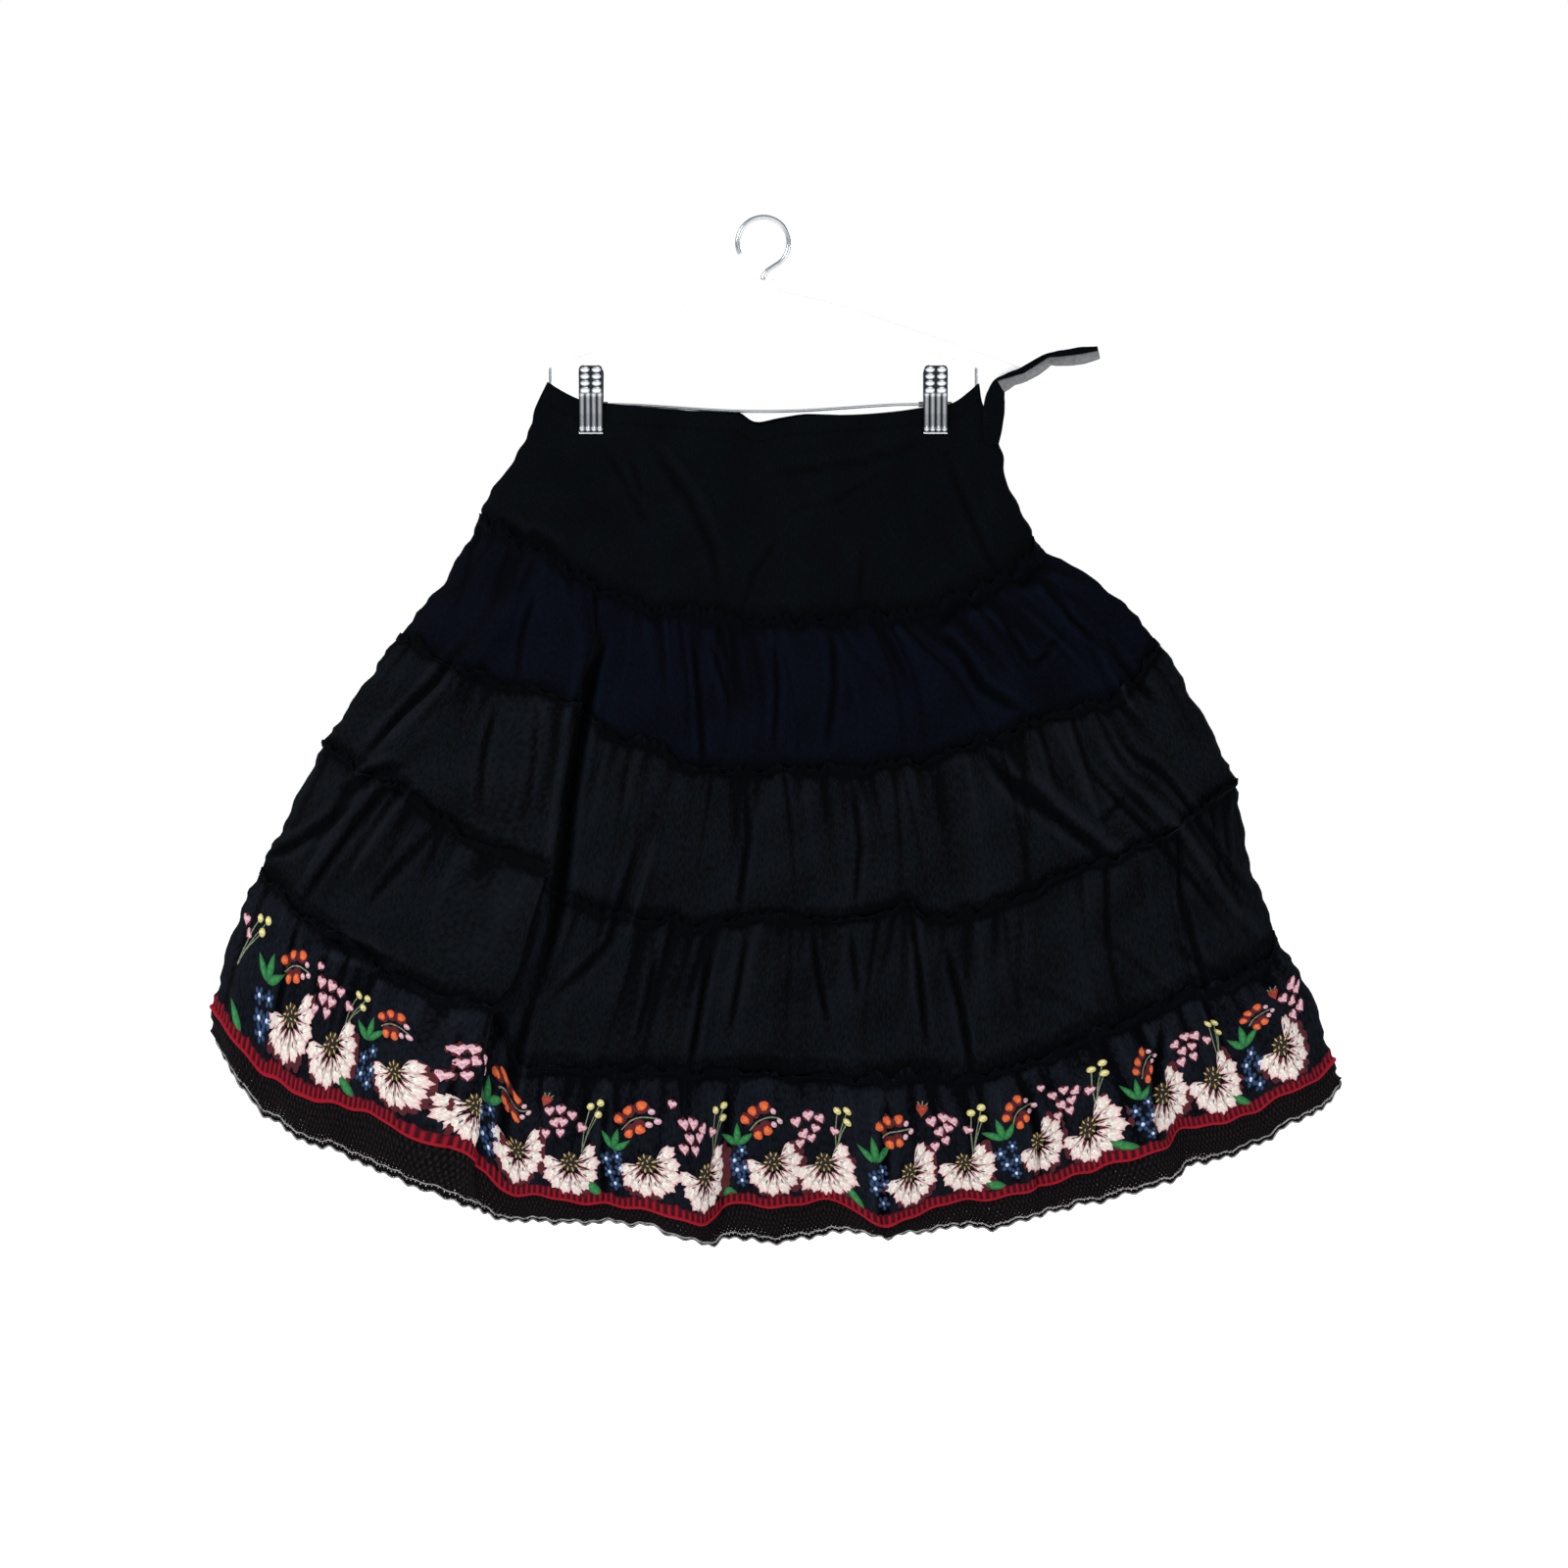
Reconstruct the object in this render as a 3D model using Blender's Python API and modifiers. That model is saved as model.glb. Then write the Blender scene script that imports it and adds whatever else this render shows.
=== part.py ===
"""A tiered pollera skirt with an embroidered hem, hung flat by its waist from a two-clip hanger.

Metres, +Z up. The skirt's front faces -Y and its left side, as a viewer in front sees it, is -X.
The origin is the inside top of the hanger's hook, where a rail carries it.
"""

import math
from collections import namedtuple

import bpy
import numpy as np

MM = 0.001

# Heights in the tables are in millimetres above the waist datum. The hook's inside top is this far above it.
HOOK_INSIDE_TOP = 148.1

# Cloth
WALL = 1.2
SEAM_GAP = 0.4
TRIM_WALL = 1.0
LACE_WALL = 1.0
COLUMNS = 52
WAVES = 13
SIDE_GAP = 0.45
FRONT, BACK = -1.0, 1.0

# Each line is one level round the skirt, from the waist edge (0) over the seams (1 to 4) to the
# braid (5) and the lace's points (6). The bends say how fast the line rises from its middle to its ends.
Line = namedtuple("Line", "level left_x left_z middle_z right_x right_z left_bend right_bend half_depth")
LINES = (
    Line(0.00, -168, 21, -12, 168, 20, 2.0, 2.6, 8),
    Line(0.12, -177, 2, -30, 171, 3, 1.9, 2.5, 10),
    Line(0.25, -181, -12, -50, 181, -15, 2.0, 2.5, 13),
    Line(0.50, -189, -33, -90, 185, -37, 1.8, 2.8, 19),
    Line(0.75, -207, -57, -130, 194, -67, 1.6, 3.2, 24),
    Line(1.00, -222, -89, -169, 214, -106, 1.5, 3.5, 28),
    Line(1.15, -232, -107, -186, 232, -117, 1.5, 3.3, 30),
    Line(1.50, -248, -134, -226, 267, -140, 1.45, 3.0, 33),
    Line(2.00, -285, -179, -283, 308, -183, 1.45, 2.8, 36),
    Line(2.50, -314, -220, -340, 344, -243, 1.6, 2.7, 39),
    Line(3.00, -342, -262, -398, 367, -292, 1.8, 2.6, 41),
    Line(3.50, -370, -318, -457, 376, -344, 2.2, 2.5, 43),
    Line(4.00, -392, -361, -515, 400, -412, 2.6, 2.4, 45),
    Line(4.50, -411, -404, -565, 423, -449, 2.5, 2.3, 47),
    Line(5.00, -428, -466, -616, 443, -507, 2.6, 2.2, 49),
    Line(6.00, -424, -494, -640, 449, -526, 3.2, 2.4, 50),
)
PLAN_SQUARENESS = 2.8
# Between the clips the back waist edge hangs this much higher than the front one.
BACK_WAIST_RISE = 4.5

# A fold stands out from its line between two levels. Shares run from the left seam (0) to the right (1),
# widths and heights are in millimetres, and lean pushes the crest towards the right seam.
Fold = namedtuple("Fold", "side top bottom top_share bottom_share half_width height lean")
FOLDS = (
    Fold(FRONT, 1.0, 6.6, 0.212, 0.262, 34, 16, 0.9),
    Fold(FRONT, 1.3, 4.4, 0.110, 0.040, 26, 9, 0.5),
    Fold(FRONT, 1.1, 3.6, 0.800, 0.900, 28, 9, -0.5),
    Fold(FRONT, 2.0, 5.0, 0.900, 0.960, 24, 8, -0.3),
    Fold(FRONT, 3.4, 6.9, 0.430, 0.440, 36, 10, 0.6),
    Fold(FRONT, 3.6, 6.9, 0.600, 0.605, 40, 11, 0.2),
    Fold(FRONT, 3.8, 6.9, 0.700, 0.710, 30, 8, 0.5),
    Fold(FRONT, 3.6, 6.9, 0.810, 0.820, 34, 10, 0.6),
    Fold(BACK, 1.0, 6.6, 0.300, 0.290, 34, 13, -0.7),
    Fold(BACK, 1.2, 5.0, 0.140, 0.080, 28, 9, -0.4),
    Fold(BACK, 1.1, 4.0, 0.560, 0.600, 32, 10, 0.5),
    Fold(BACK, 2.0, 6.6, 0.780, 0.820, 34, 12, 0.6),
    Fold(BACK, 3.5, 6.9, 0.420, 0.430, 36, 10, -0.4),
    Fold(BACK, 3.7, 6.9, 0.660, 0.680, 30, 9, 0.3),
)
# A fold that stands further out also hangs a little lower.
HANG_OF_CREST = 0.25

# Gathers under each seam: how far the waves stand out at their fullest, and their random seed.
Gather = namedtuple("Gather", "seam height seed")
GATHERS = (Gather(1, 4.5, 11), Gather(2, 5.5, 12), Gather(3, 6.5, 13), Gather(4, 9.0, 14))
GATHER_FULL_AT = 0.25
HEM_SEAM = 4
END_TAPER = 0.05

# The red braid runs from this level down to the flounce's edge.
TRIM_TOP = 4.925

# Hanger
CLIP_X = 134.0
CLIP_WIDTH = 18.5
CLIP_PLATE = 1.0
CLIP_LAYER = 0.85
BAR_RADIUS = 1.15
BAR_Y = 4.0
BAR_Z = 4.0
BAR_SAG = 5.5
BAR_STRAIGHT_FROM = 118.0
BAR_END_X = 166.0
BAR_END_RADIUS = 7.0
BARREL_RADIUS = 2.2
BARREL_HALF = 13.0
ARM_HEIGHT = 12.0
ARM_THICK = 5.0
HOOK_WIRE = 1.9
HOOK_RADIUS = 20.0
FIT = 0.3


def millimetres(points):
    """Table millimetres, from the waist datum and the side seams' plane, as metres from the hook."""
    return (np.asarray(points, float) - (0, BAR_Y, HOOK_INSIDE_TOP)) * MM


def smooth_step(t):
    t = np.clip(t, 0.0, 1.0)
    return t * t * (3 - 2 * t)


def line_at(level):
    """The table's columns at any level, on a smooth curve through the rows."""
    rows = np.array(LINES, float)
    i = int(np.clip(np.searchsorted(rows[:, 0], level) - 1, 0, len(rows) - 2))
    before, here, after, beyond = (rows[int(np.clip(j, 0, len(rows) - 1))] for j in (i - 1, i, i + 1, i + 2))
    span = after[0] - here[0]
    t = (level - here[0]) / span
    slope_here = (after - before) / max(after[0] - before[0], 1e-9) * span
    slope_after = (beyond - here) / max(beyond[0] - here[0], 1e-9) * span
    found = (
        (2 * t**3 - 3 * t**2 + 1) * here
        + (t**3 - 2 * t**2 + t) * slope_here
        + (3 * t**2 - 2 * t**3) * after
        + (t**3 - t**2) * slope_after
    )
    return Line(*found)


def plain_line(level, side, shares):
    """Points of the unfolded cloth at a level, at shares of its length, and the outward direction in plan."""
    row = line_at(level)
    v = -np.cos(np.linspace(0, math.pi, 361))
    x = (row.left_x + row.right_x) / 2 + v * (row.right_x - row.left_x) / 2
    rise = np.where(v < 0, row.left_z - row.middle_z, row.right_z - row.middle_z)
    bend = np.where(v < 0, row.left_bend, row.right_bend)
    z = row.middle_z + rise * np.abs(v) ** bend
    z += (side > 0) * BACK_WAIST_RISE * (1 - smooth_step(level / 0.3)) * (1 - smooth_step(np.abs(v) / 0.6))
    inside_clip = np.minimum(np.abs(x) - CLIP_X + CLIP_WIDTH / 2 + 2, 0)
    pinch = np.exp(-((inside_clip / 20) ** 2)) * (1 - smooth_step((level - 0.27) / 0.5))
    open_depth = row.half_depth * np.sqrt(1 - np.abs(v) ** PLAN_SQUARENESS)
    y = side * (open_depth * (1 - pinch) + CLIP_LAYER * pinch)
    curve = np.stack([x, y, z], axis=1)
    along = np.concatenate([[0], np.cumsum(np.linalg.norm(np.diff(curve, axis=0), axis=1))])
    at = SIDE_GAP + shares * (along[-1] - 2 * SIDE_GAP)
    points = np.stack([np.interp(at, along, curve[:, k]) for k in range(3)], axis=1)
    tangent = np.gradient(curve, axis=0)
    tangent[:, 2] = 0
    tangent /= np.linalg.norm(tangent, axis=1)[:, None]
    outward = np.stack([-side * tangent[:, 1], side * tangent[:, 0], tangent[:, 2]], axis=1)
    outward = np.stack([np.interp(at, along, outward[:, k]) for k in range(3)], axis=1)
    return points, outward / np.linalg.norm(outward, axis=1)[:, None], along[-1]


def fold_height(side, level, shares, length):
    """How far the large folds stand out, and how far they lean along the line, in millimetres."""
    out = np.zeros(len(shares))
    lean = np.zeros(len(shares))
    for fold in FOLDS:
        if fold.side != side or not fold.top < level < fold.bottom:
            continue
        down = (level - fold.top) / (fold.bottom - fold.top)
        centre = fold.top_share + (fold.bottom_share - fold.top_share) * down
        across = np.clip((shares - centre) * length / fold.half_width, -1, 1)
        height = fold.height * math.sin(math.pi * down**0.75) * np.cos(across * math.pi / 2) ** 2
        out += height
        lean += fold.lean * height
    return out, lean


def gather_height(side, level, shares):
    """How far the gathers under the seam above this level stand out, in millimetres."""
    seam = min(int(level), HEM_SEAM)
    if seam < 1:
        return np.zeros(len(shares))
    gather = GATHERS[seam - 1]
    crests = np.random.default_rng(gather.seed + (side > 0) * 100).uniform(0.35, 1.0, WAVES)
    warped = np.clip(shares + 0.008 * np.sin(shares * 19 + gather.seed), 0, 0.9999) * WAVES
    wave = crests[warped.astype(int)] * (0.5 - 0.5 * np.cos(2 * math.pi * warped))
    down = level - seam
    if seam == HEM_SEAM:
        strength = smooth_step(down / 0.8)
    else:
        strength = smooth_step(down / GATHER_FULL_AT) * (1 - smooth_step((down - GATHER_FULL_AT) / 0.75))
    return gather.height * strength * wave


def draped_line(level, side, shares):
    """Points of the folded and gathered cloth at a level."""
    points, outward, length = plain_line(level, side, shares)
    fold, lean = fold_height(side, level, shares, length)
    taper = smooth_step(np.minimum(shares, 1 - shares) / END_TAPER)
    raised = taper * (fold + gather_height(side, level, shares))
    along = np.stack([side * outward[:, 1], -side * outward[:, 0], outward[:, 2]], axis=1)
    points = points + outward * raised[:, None] + along * (taper * lean)[:, None]
    points[:, 2] -= HANG_OF_CREST * raised
    return points


def cloth_line(level, side, shares, lift=0.0):
    """The draped line, lifted squarely off the cloth by some millimetres."""
    points = draped_line(level, side, shares)
    if lift:
        step = 1 / COLUMNS
        ahead = draped_line(level, side, np.minimum(shares + step, 1))
        run = ahead - draped_line(level, side, np.maximum(shares - step, 0))
        run /= np.hypot(run[:, 0], run[:, 1])[:, None]
        points = points + lift * side * np.stack([-run[:, 1], run[:, 0], np.zeros(len(run))], axis=1)
    return points


def material(name, colour, roughness, metallic=0.0):
    made = bpy.data.materials.new(name)
    made.use_nodes = True
    shader = made.node_tree.nodes["Principled BSDF"]
    shader.inputs["Base Color"].default_value = (*colour, 1.0)
    shader.inputs["Roughness"].default_value = roughness
    shader.inputs["Metallic"].default_value = metallic
    return made


def sheet_solid(name, place, columns, rows, wall, finish):
    """A flat grid laid point by point by place(across, down), both from 0 to 1, and given its wall."""
    bpy.ops.mesh.primitive_grid_add(x_subdivisions=columns, y_subdivisions=rows, size=2)
    sheet = bpy.context.active_object
    sheet.name = name
    flat = np.array([vertex.co[:2] for vertex in sheet.data.vertices])
    laid = place(flat[:, 0] / 2 + 0.5, 0.5 - flat[:, 1] / 2)
    sheet.data.vertices.foreach_set("co", millimetres(laid).astype(np.float32).ravel())
    sheet.data.materials.append(finish)
    solidify = sheet.modifiers.new("wall", "SOLIDIFY")
    solidify.thickness = wall * MM
    solidify.offset = 0
    return sheet


def cloth_panel(name, side, levels, lift, wall, finish):
    """One sewn panel from the left side seam to the right, with a row of points at each level."""

    def place(across, down):
        row = np.rint(down * (len(levels) - 1)).astype(int)
        laid = np.zeros((len(across), 3))
        for i, level in enumerate(levels):
            laid[row == i] = cloth_line(level, side, across[row == i], lift)
        return laid

    return sheet_solid(name, place, COLUMNS, len(levels) - 1, wall, finish)


def under_seam(seam):
    """The level just above a seam, where the piece over it ends."""
    tier_height = line_at(seam - 0.5).middle_z - line_at(seam + 0.5).middle_z
    return seam - SEAM_GAP / tier_height


def skirt(finish):
    """The yoke, three gathered tiers, the hem flounce with its braid, and the lace, front and back."""
    for side, word in ((FRONT, "front"), (BACK, "back")):
        yoke = [0, 0.27, 0.55, 0.8, under_seam(1)]
        cloth_panel(f"yoke_{word}", side, yoke, 0, WALL, finish["cotton"])
        for seam in (1, 2, 3):
            levels = [seam, seam + GATHER_FULL_AT, seam + 0.6, under_seam(seam + 1)]
            dyed = finish["navy" if seam == 1 else "cotton"]
            cloth_panel(f"tier_{seam}_{word}", side, levels, 0, WALL, dyed)
        levels = [HEM_SEAM, HEM_SEAM + 0.2, HEM_SEAM + 0.5, TRIM_TOP, under_seam(5)]
        cloth_panel(f"hem_flounce_{word}", side, levels, 0, WALL, finish["navy"])
        lift = (WALL + TRIM_WALL) / 2 + FIT
        cloth_panel(f"red_braid_{word}", side, [TRIM_TOP, under_seam(5)], lift, TRIM_WALL, finish["red"])
        cloth_panel(f"lace_edging_{word}", side, [5, 6], 0, LACE_WALL, finish["lace"])


# The tie's middle line and how far its strip is turned at each point, from facing the front (0).
TiePoint = namedtuple("TiePoint", "x y z turn_deg width")
TIE = (
    TiePoint(178, -6.2, -27, 0, 9),
    TiePoint(179.5, -4.6, -15, 0, 12),
    TiePoint(180.5, -3.4, -3, 8, 13),
    TiePoint(181.5, -3.8, 9, 15, 13),
    TiePoint(186, -4.2, 19, 25, 10),
    TiePoint(194, -4.6, 25.5, 35, 8),
    TiePoint(203, -4.8, 28.5, 40, 8),
    TiePoint(212, -4.2, 33, 60, 8),
    TiePoint(224, -2.5, 41.5, 100, 8),
    TiePoint(236, -1.2, 43, 150, 9),
    TiePoint(248, -0.6, 44.2, 190, 8),
    TiePoint(260, -1, 46.8, 180, 7),
)
TIE_WALL = 1.6
TIE_STEPS = 33


def side_tie(finish):
    """The waist's tie: a stitched strip that rises from the right side seam over the hanger's arm."""
    rows = np.array(TIE, float)
    steps = np.linspace(0, len(rows) - 1, TIE_STEPS + 1)

    def place(across, down):
        at = down * (len(rows) - 1)
        middle = np.stack([np.interp(at, range(len(rows)), rows[:, k]) for k in range(5)], axis=1)
        path = np.stack([np.interp(steps, range(len(rows)), rows[:, k]) for k in range(3)], axis=1)
        run = np.gradient(path, axis=0)
        run = np.stack([np.interp(at, steps, run[:, k]) for k in range(3)], axis=1)
        run /= np.linalg.norm(run, axis=1)[:, None]
        upright = np.cross(run, (0, 1, 0))
        upright /= np.linalg.norm(upright, axis=1)[:, None]
        level = np.cross(upright, run)
        turn = np.radians(middle[:, 3])[:, None]
        width = middle[:, 4:5]
        widthways = upright * np.cos(turn) + level * np.sin(turn)
        return middle[:, :3] + widthways * width * (across[:, None] - 0.5)

    return sheet_solid("side_tie", place, 2, TIE_STEPS, TIE_WALL, finish["cotton"])


def wire(name, points, radius, finish):
    """A bent wire along points in millimetres, with closed ends."""
    curve = bpy.data.curves.new(name, "CURVE")
    curve.dimensions = "3D"
    curve.bevel_depth = radius * MM
    curve.bevel_resolution = 2
    curve.use_fill_caps = True
    spline = curve.splines.new("POLY")
    spline.points.add(len(points) - 1)
    for point, place in zip(spline.points, millimetres(points)):
        point.co = (*place, 1)
    made = bpy.data.objects.new(name, curve)
    bpy.context.scene.collection.objects.link(made)
    curve.materials.append(finish)
    return made


def hanger_bar(finish):
    """The bar that the clips ride on: level through the clips, sagging between them, its ends turned up."""
    half = []
    for x in np.linspace(0, BAR_STRAIGHT_FROM, 9):
        half.append((x, BAR_Y, BAR_Z - BAR_SAG * (1 - (x / BAR_STRAIGHT_FROM) ** 2) ** 2))
    for angle in np.linspace(0, math.pi / 2, 6):
        bend_x = BAR_END_X - BAR_END_RADIUS * (1 - math.sin(angle))
        half.append((bend_x, BAR_Y, BAR_Z + BAR_END_RADIUS * (1 - math.cos(angle))))
    half.append((BAR_END_X, BAR_Y, arm_underside(BAR_END_X + BAR_RADIUS) - FIT))
    other = [(-x, y, z) for x, y, z in reversed(half[1:])]
    wire("hanger_bar", other + half, BAR_RADIUS, finish["chrome"])


# The arms' middle line, from the neck to the tip.
ArmPoint = namedtuple("ArmPoint", "x z")
ARM = (
    ArmPoint(0, 86),
    ArmPoint(30, 83),
    ArmPoint(70, 72),
    ArmPoint(120, 55),
    ArmPoint(166, 39),
    ArmPoint(203, 26),
)
NECK_HALF = 9.0
NECK_TOP = 101.0


def arm_middle(x):
    rows = np.array(ARM)
    return float(np.interp(x, rows[:, 0], rows[:, 1]))


def arm_underside(x):
    return arm_middle(x) - ARM_HEIGHT / 2


def hanger_arms(finish):
    """The hanger's body: two sloping arms with round tips and a neck, cut as one plain outline."""
    run = np.linspace(0, ARM[-1].x, 12)
    tip = ARM[-1]
    tip_arc = [
        (tip.x + math.cos(a) * ARM_HEIGHT / 2, tip.z + math.sin(a) * ARM_HEIGHT / 2)
        for a in np.linspace(-math.pi / 2, math.pi / 2, 7)
    ]
    under = [(x, arm_underside(x)) for x in run[:-1]]
    over = [(x, arm_middle(x) + ARM_HEIGHT / 2) for x in run[-2:1:-1]]
    half = under + tip_arc + over + [(NECK_HALF + 4, arm_middle(0) + ARM_HEIGHT / 2), (NECK_HALF, NECK_TOP)]
    outline = half + [(-x, z) for x, z in reversed(half) if x > 0]
    curve = bpy.data.curves.new("hanger_arms", "CURVE")
    curve.dimensions = "2D"
    curve.fill_mode = "BOTH"
    curve.extrude = ARM_THICK / 2 * MM
    spline = curve.splines.new("POLY")
    spline.points.add(len(outline) - 1)
    for point, (x, z) in zip(spline.points, outline):
        point.co = (x * MM, (z - HOOK_INSIDE_TOP) * MM, 0, 1)
    spline.use_cyclic_u = True
    made = bpy.data.objects.new("hanger_arms", curve)
    bpy.context.scene.collection.objects.link(made)
    made.rotation_euler = (math.pi / 2, 0, 0)
    curve.materials.append(finish["plastic"])


def hanger_hook(finish):
    """The hook: a stem out of the neck and three quarters of a round, its inside top at the origin."""
    centre_z = HOOK_INSIDE_TOP + HOOK_WIRE - HOOK_RADIUS
    points = [(0, BAR_Y, NECK_TOP + FIT), (0, BAR_Y, NECK_TOP + 3)]
    points.append((3.5, BAR_Y, centre_z - HOOK_RADIUS - 1.5))
    for angle in np.radians(np.linspace(-62, 205, 25)):
        points.append((HOOK_RADIUS * math.cos(angle), BAR_Y, centre_z + HOOK_RADIUS * math.sin(angle)))
    wire("hanger_hook", points, HOOK_WIRE, finish["chrome"])


# A clip from the side: heights, and how far the middles of its two plates are from the waist's plane.
JawPoint = namedtuple("JawPoint", "z front_y back_y")
JAW = (
    JawPoint(-19.5, -2.4, 2.4),
    JawPoint(-13, -2.4, 2.4),
    JawPoint(-4, -2.7, 5.6),
    JawPoint(12, -4.0, 8.4),
    JawPoint(33, -8.6, 12.6),
)
RIB_OUT = 0.9
RIB_TOP = 12.0
BEAD_ROWS = 4
BRIDGE = (7.0, 3.0)


def jaw_plate(name, centre_x, column, finish):
    """A stamped plate: four upright ribs on the jaw, and two rows of beads on the grip."""
    outward = -1 if column == 1 else 1
    rows = np.array(JAW, float)
    ribbed = np.array([-19.5, -13, -4, RIB_TOP])
    beads = np.linspace(RIB_TOP, JAW[-1].z, 2 * BEAD_ROWS + 1)[1:]
    heights = np.concatenate([ribbed, beads])[::-1]
    columns = 8

    def place(across, down):
        row = np.rint(down * (len(heights) - 1)).astype(int)
        lane = np.rint(across * columns).astype(int)
        z = heights[row]
        y = np.interp(z, rows[:, 0], rows[:, column])
        rib = (lane % 2 == 1) & (z <= RIB_TOP)
        bead = (np.isin(lane, (1, 2, 3, 5, 6, 7))) & (row % 2 == 1) & (z > RIB_TOP)
        y = y + outward * RIB_OUT * (rib | bead)
        return np.stack([centre_x + (across - 0.5) * CLIP_WIDTH, y, z], axis=1)

    return sheet_solid(name, place, columns, len(heights) - 1, CLIP_PLATE, finish["chrome"])


def clip_bridge(name, centre_x):
    """The block that joins the front plate to the back one above the cloth, as a tool for a Boolean."""
    z = 16.0
    front = float(np.interp(z, [p.z for p in JAW], [p.front_y for p in JAW]))
    back = float(np.interp(z, [p.z for p in JAW], [p.back_y for p in JAW])) - CLIP_PLATE / 2 - 2 * FIT
    width, height = BRIDGE
    corners = [(centre_x - width / 2, front, z - height / 2), (centre_x + width / 2, back, z + height / 2)]
    low, high = millimetres(corners)
    bpy.ops.mesh.primitive_cube_add(size=1, location=(low + high) / 2)
    block = bpy.context.active_object
    block.name = name
    block.scale = high - low
    bpy.ops.object.transform_apply(location=False, rotation=False, scale=True)
    block.hide_render = True
    block.display_type = "WIRE"
    return block


def clip_barrel(name, centre_x, finish):
    """The tube that slides on the bar and shows as two small ears beside the plates."""
    bore = BAR_RADIUS + FIT
    profile = bpy.data.meshes.new(name)
    ends = (-BARREL_HALF, BARREL_HALF)
    corners = [(BARREL_RADIUS, ends[0]), (BARREL_RADIUS, ends[1]), (bore, ends[1]), (bore, ends[0])]
    points = [(radius * MM, 0, along * MM) for radius, along in corners]
    profile.from_pydata(points, [(0, 1), (1, 2), (2, 3), (3, 0)], [])
    barrel = bpy.data.objects.new(name, profile)
    bpy.context.scene.collection.objects.link(barrel)
    screw = barrel.modifiers.new("turn", "SCREW")
    screw.steps = screw.render_steps = 16
    screw.use_merge_vertices = True
    screw.merge_threshold = 0.00005
    screw.use_normal_flip = True
    barrel.rotation_euler = (0, math.pi / 2, 0)
    barrel.location = millimetres([(centre_x, BAR_Y, BAR_Z)])[0]
    profile.materials.append(finish["chrome"])
    return barrel


def clip(word, centre_x, finish):
    """One hanger clip, shut on the waist: two plates and the barrel that the bar runs through."""
    front = jaw_plate(f"clip_{word}_front_jaw", centre_x, 1, finish)
    jaw_plate(f"clip_{word}_back_jaw", centre_x, 2, finish)
    bridge = clip_bridge(f"clip_{word}_bridge_tool", centre_x)
    join = front.modifiers.new("bridge", "BOOLEAN")
    join.operation = "UNION"
    join.object = bridge
    clip_barrel(f"clip_{word}_barrel", centre_x, finish)
    return bridge


def collect(name, objects):
    """A collection of these objects alone."""
    group = bpy.data.collections.new(name)
    bpy.context.scene.collection.children.link(group)
    for member in objects:
        for old in list(member.users_collection):
            old.objects.unlink(member)
        group.objects.link(member)


def main():
    for old in list(bpy.data.objects):
        bpy.data.objects.remove(old)
    finish = {
        "cotton": material("black cotton", (0.010, 0.012, 0.016), 0.9),
        "navy": material("blue-black cotton", (0.009, 0.012, 0.022), 0.9),
        "red": material("red wool braid", (0.42, 0.010, 0.030), 0.85),
        "lace": material("black lace", (0.012, 0.011, 0.012), 0.8),
        "plastic": material("white plastic", (0.86, 0.86, 0.87), 0.35),
        "chrome": material("chrome", (0.80, 0.81, 0.83), 0.18, 1.0),
    }
    skirt(finish)
    side_tie(finish)
    hanger_bar(finish)
    hanger_arms(finish)
    hanger_hook(finish)
    tools = [clip("left", -CLIP_X, finish), clip("right", CLIP_X, finish)]
    collect("cutters", tools)
    collect("pollera skirt", [member for member in bpy.data.objects if member not in tools])


main()
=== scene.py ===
# %% [markdown]
# # A tiered pollera skirt on a clip hanger
# The skirt is black cotton gauze: a smooth hip yoke, three gathered tiers, a hem flounce with a band of
# flower embroidery, a red blanket-stitched edge and black lace. Two chrome clips hold its waist flat.
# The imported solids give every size, so this script lays finer cloth and stitching over them.

import math
from collections import namedtuple

import bpy
import numpy as np
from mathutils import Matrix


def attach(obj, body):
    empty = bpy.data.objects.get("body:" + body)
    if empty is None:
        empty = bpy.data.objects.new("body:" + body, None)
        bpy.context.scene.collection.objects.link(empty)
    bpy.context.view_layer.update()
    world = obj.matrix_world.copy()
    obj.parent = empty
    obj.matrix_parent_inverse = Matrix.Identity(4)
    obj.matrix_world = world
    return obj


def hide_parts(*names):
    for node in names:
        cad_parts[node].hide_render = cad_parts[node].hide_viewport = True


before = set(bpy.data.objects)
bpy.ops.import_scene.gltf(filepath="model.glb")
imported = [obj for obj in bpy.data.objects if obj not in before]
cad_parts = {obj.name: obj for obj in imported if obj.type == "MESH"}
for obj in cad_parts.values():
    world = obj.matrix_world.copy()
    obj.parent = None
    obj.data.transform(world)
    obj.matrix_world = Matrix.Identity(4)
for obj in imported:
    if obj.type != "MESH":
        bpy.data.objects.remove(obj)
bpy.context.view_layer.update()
bpy.ops.object.select_all(action="DESELECT")


def rounded(values):
    """Numbers to print, to three places."""
    return np.round(np.array(values, float), 3).tolist()


# %% [markdown]
# The photograph is taken square on, from far enough away that nothing tapers. Its pixels are 0.75 mm
# apart at the front of the cloth. A long lens at the matching distance gives the same view, and the
# camera stands level with the middle of the picture.

# %% Camera
MM = 0.001
PIXEL = 0.75
PICTURE = 1600
DATUM_PIXEL = (778.5, 411.0)
HOOK_INSIDE_TOP = 148.1
BAR_Y = 4.0
FRONT_Y = -48.0
LENS, SENSOR = 85.0, 36.0
VIEW_DEPTH = 50


def seen(across, down):
    """Millimetres from the waist datum of a place in the picture."""
    return (across - DATUM_PIXEL[0]) * PIXEL, (DATUM_PIXEL[1] - down) * PIXEL


def metres(points):
    """Table millimetres as metres from the hook."""
    return (np.asarray(points, float) - (0, BAR_Y, HOOK_INSIDE_TOP)) * MM


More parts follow.
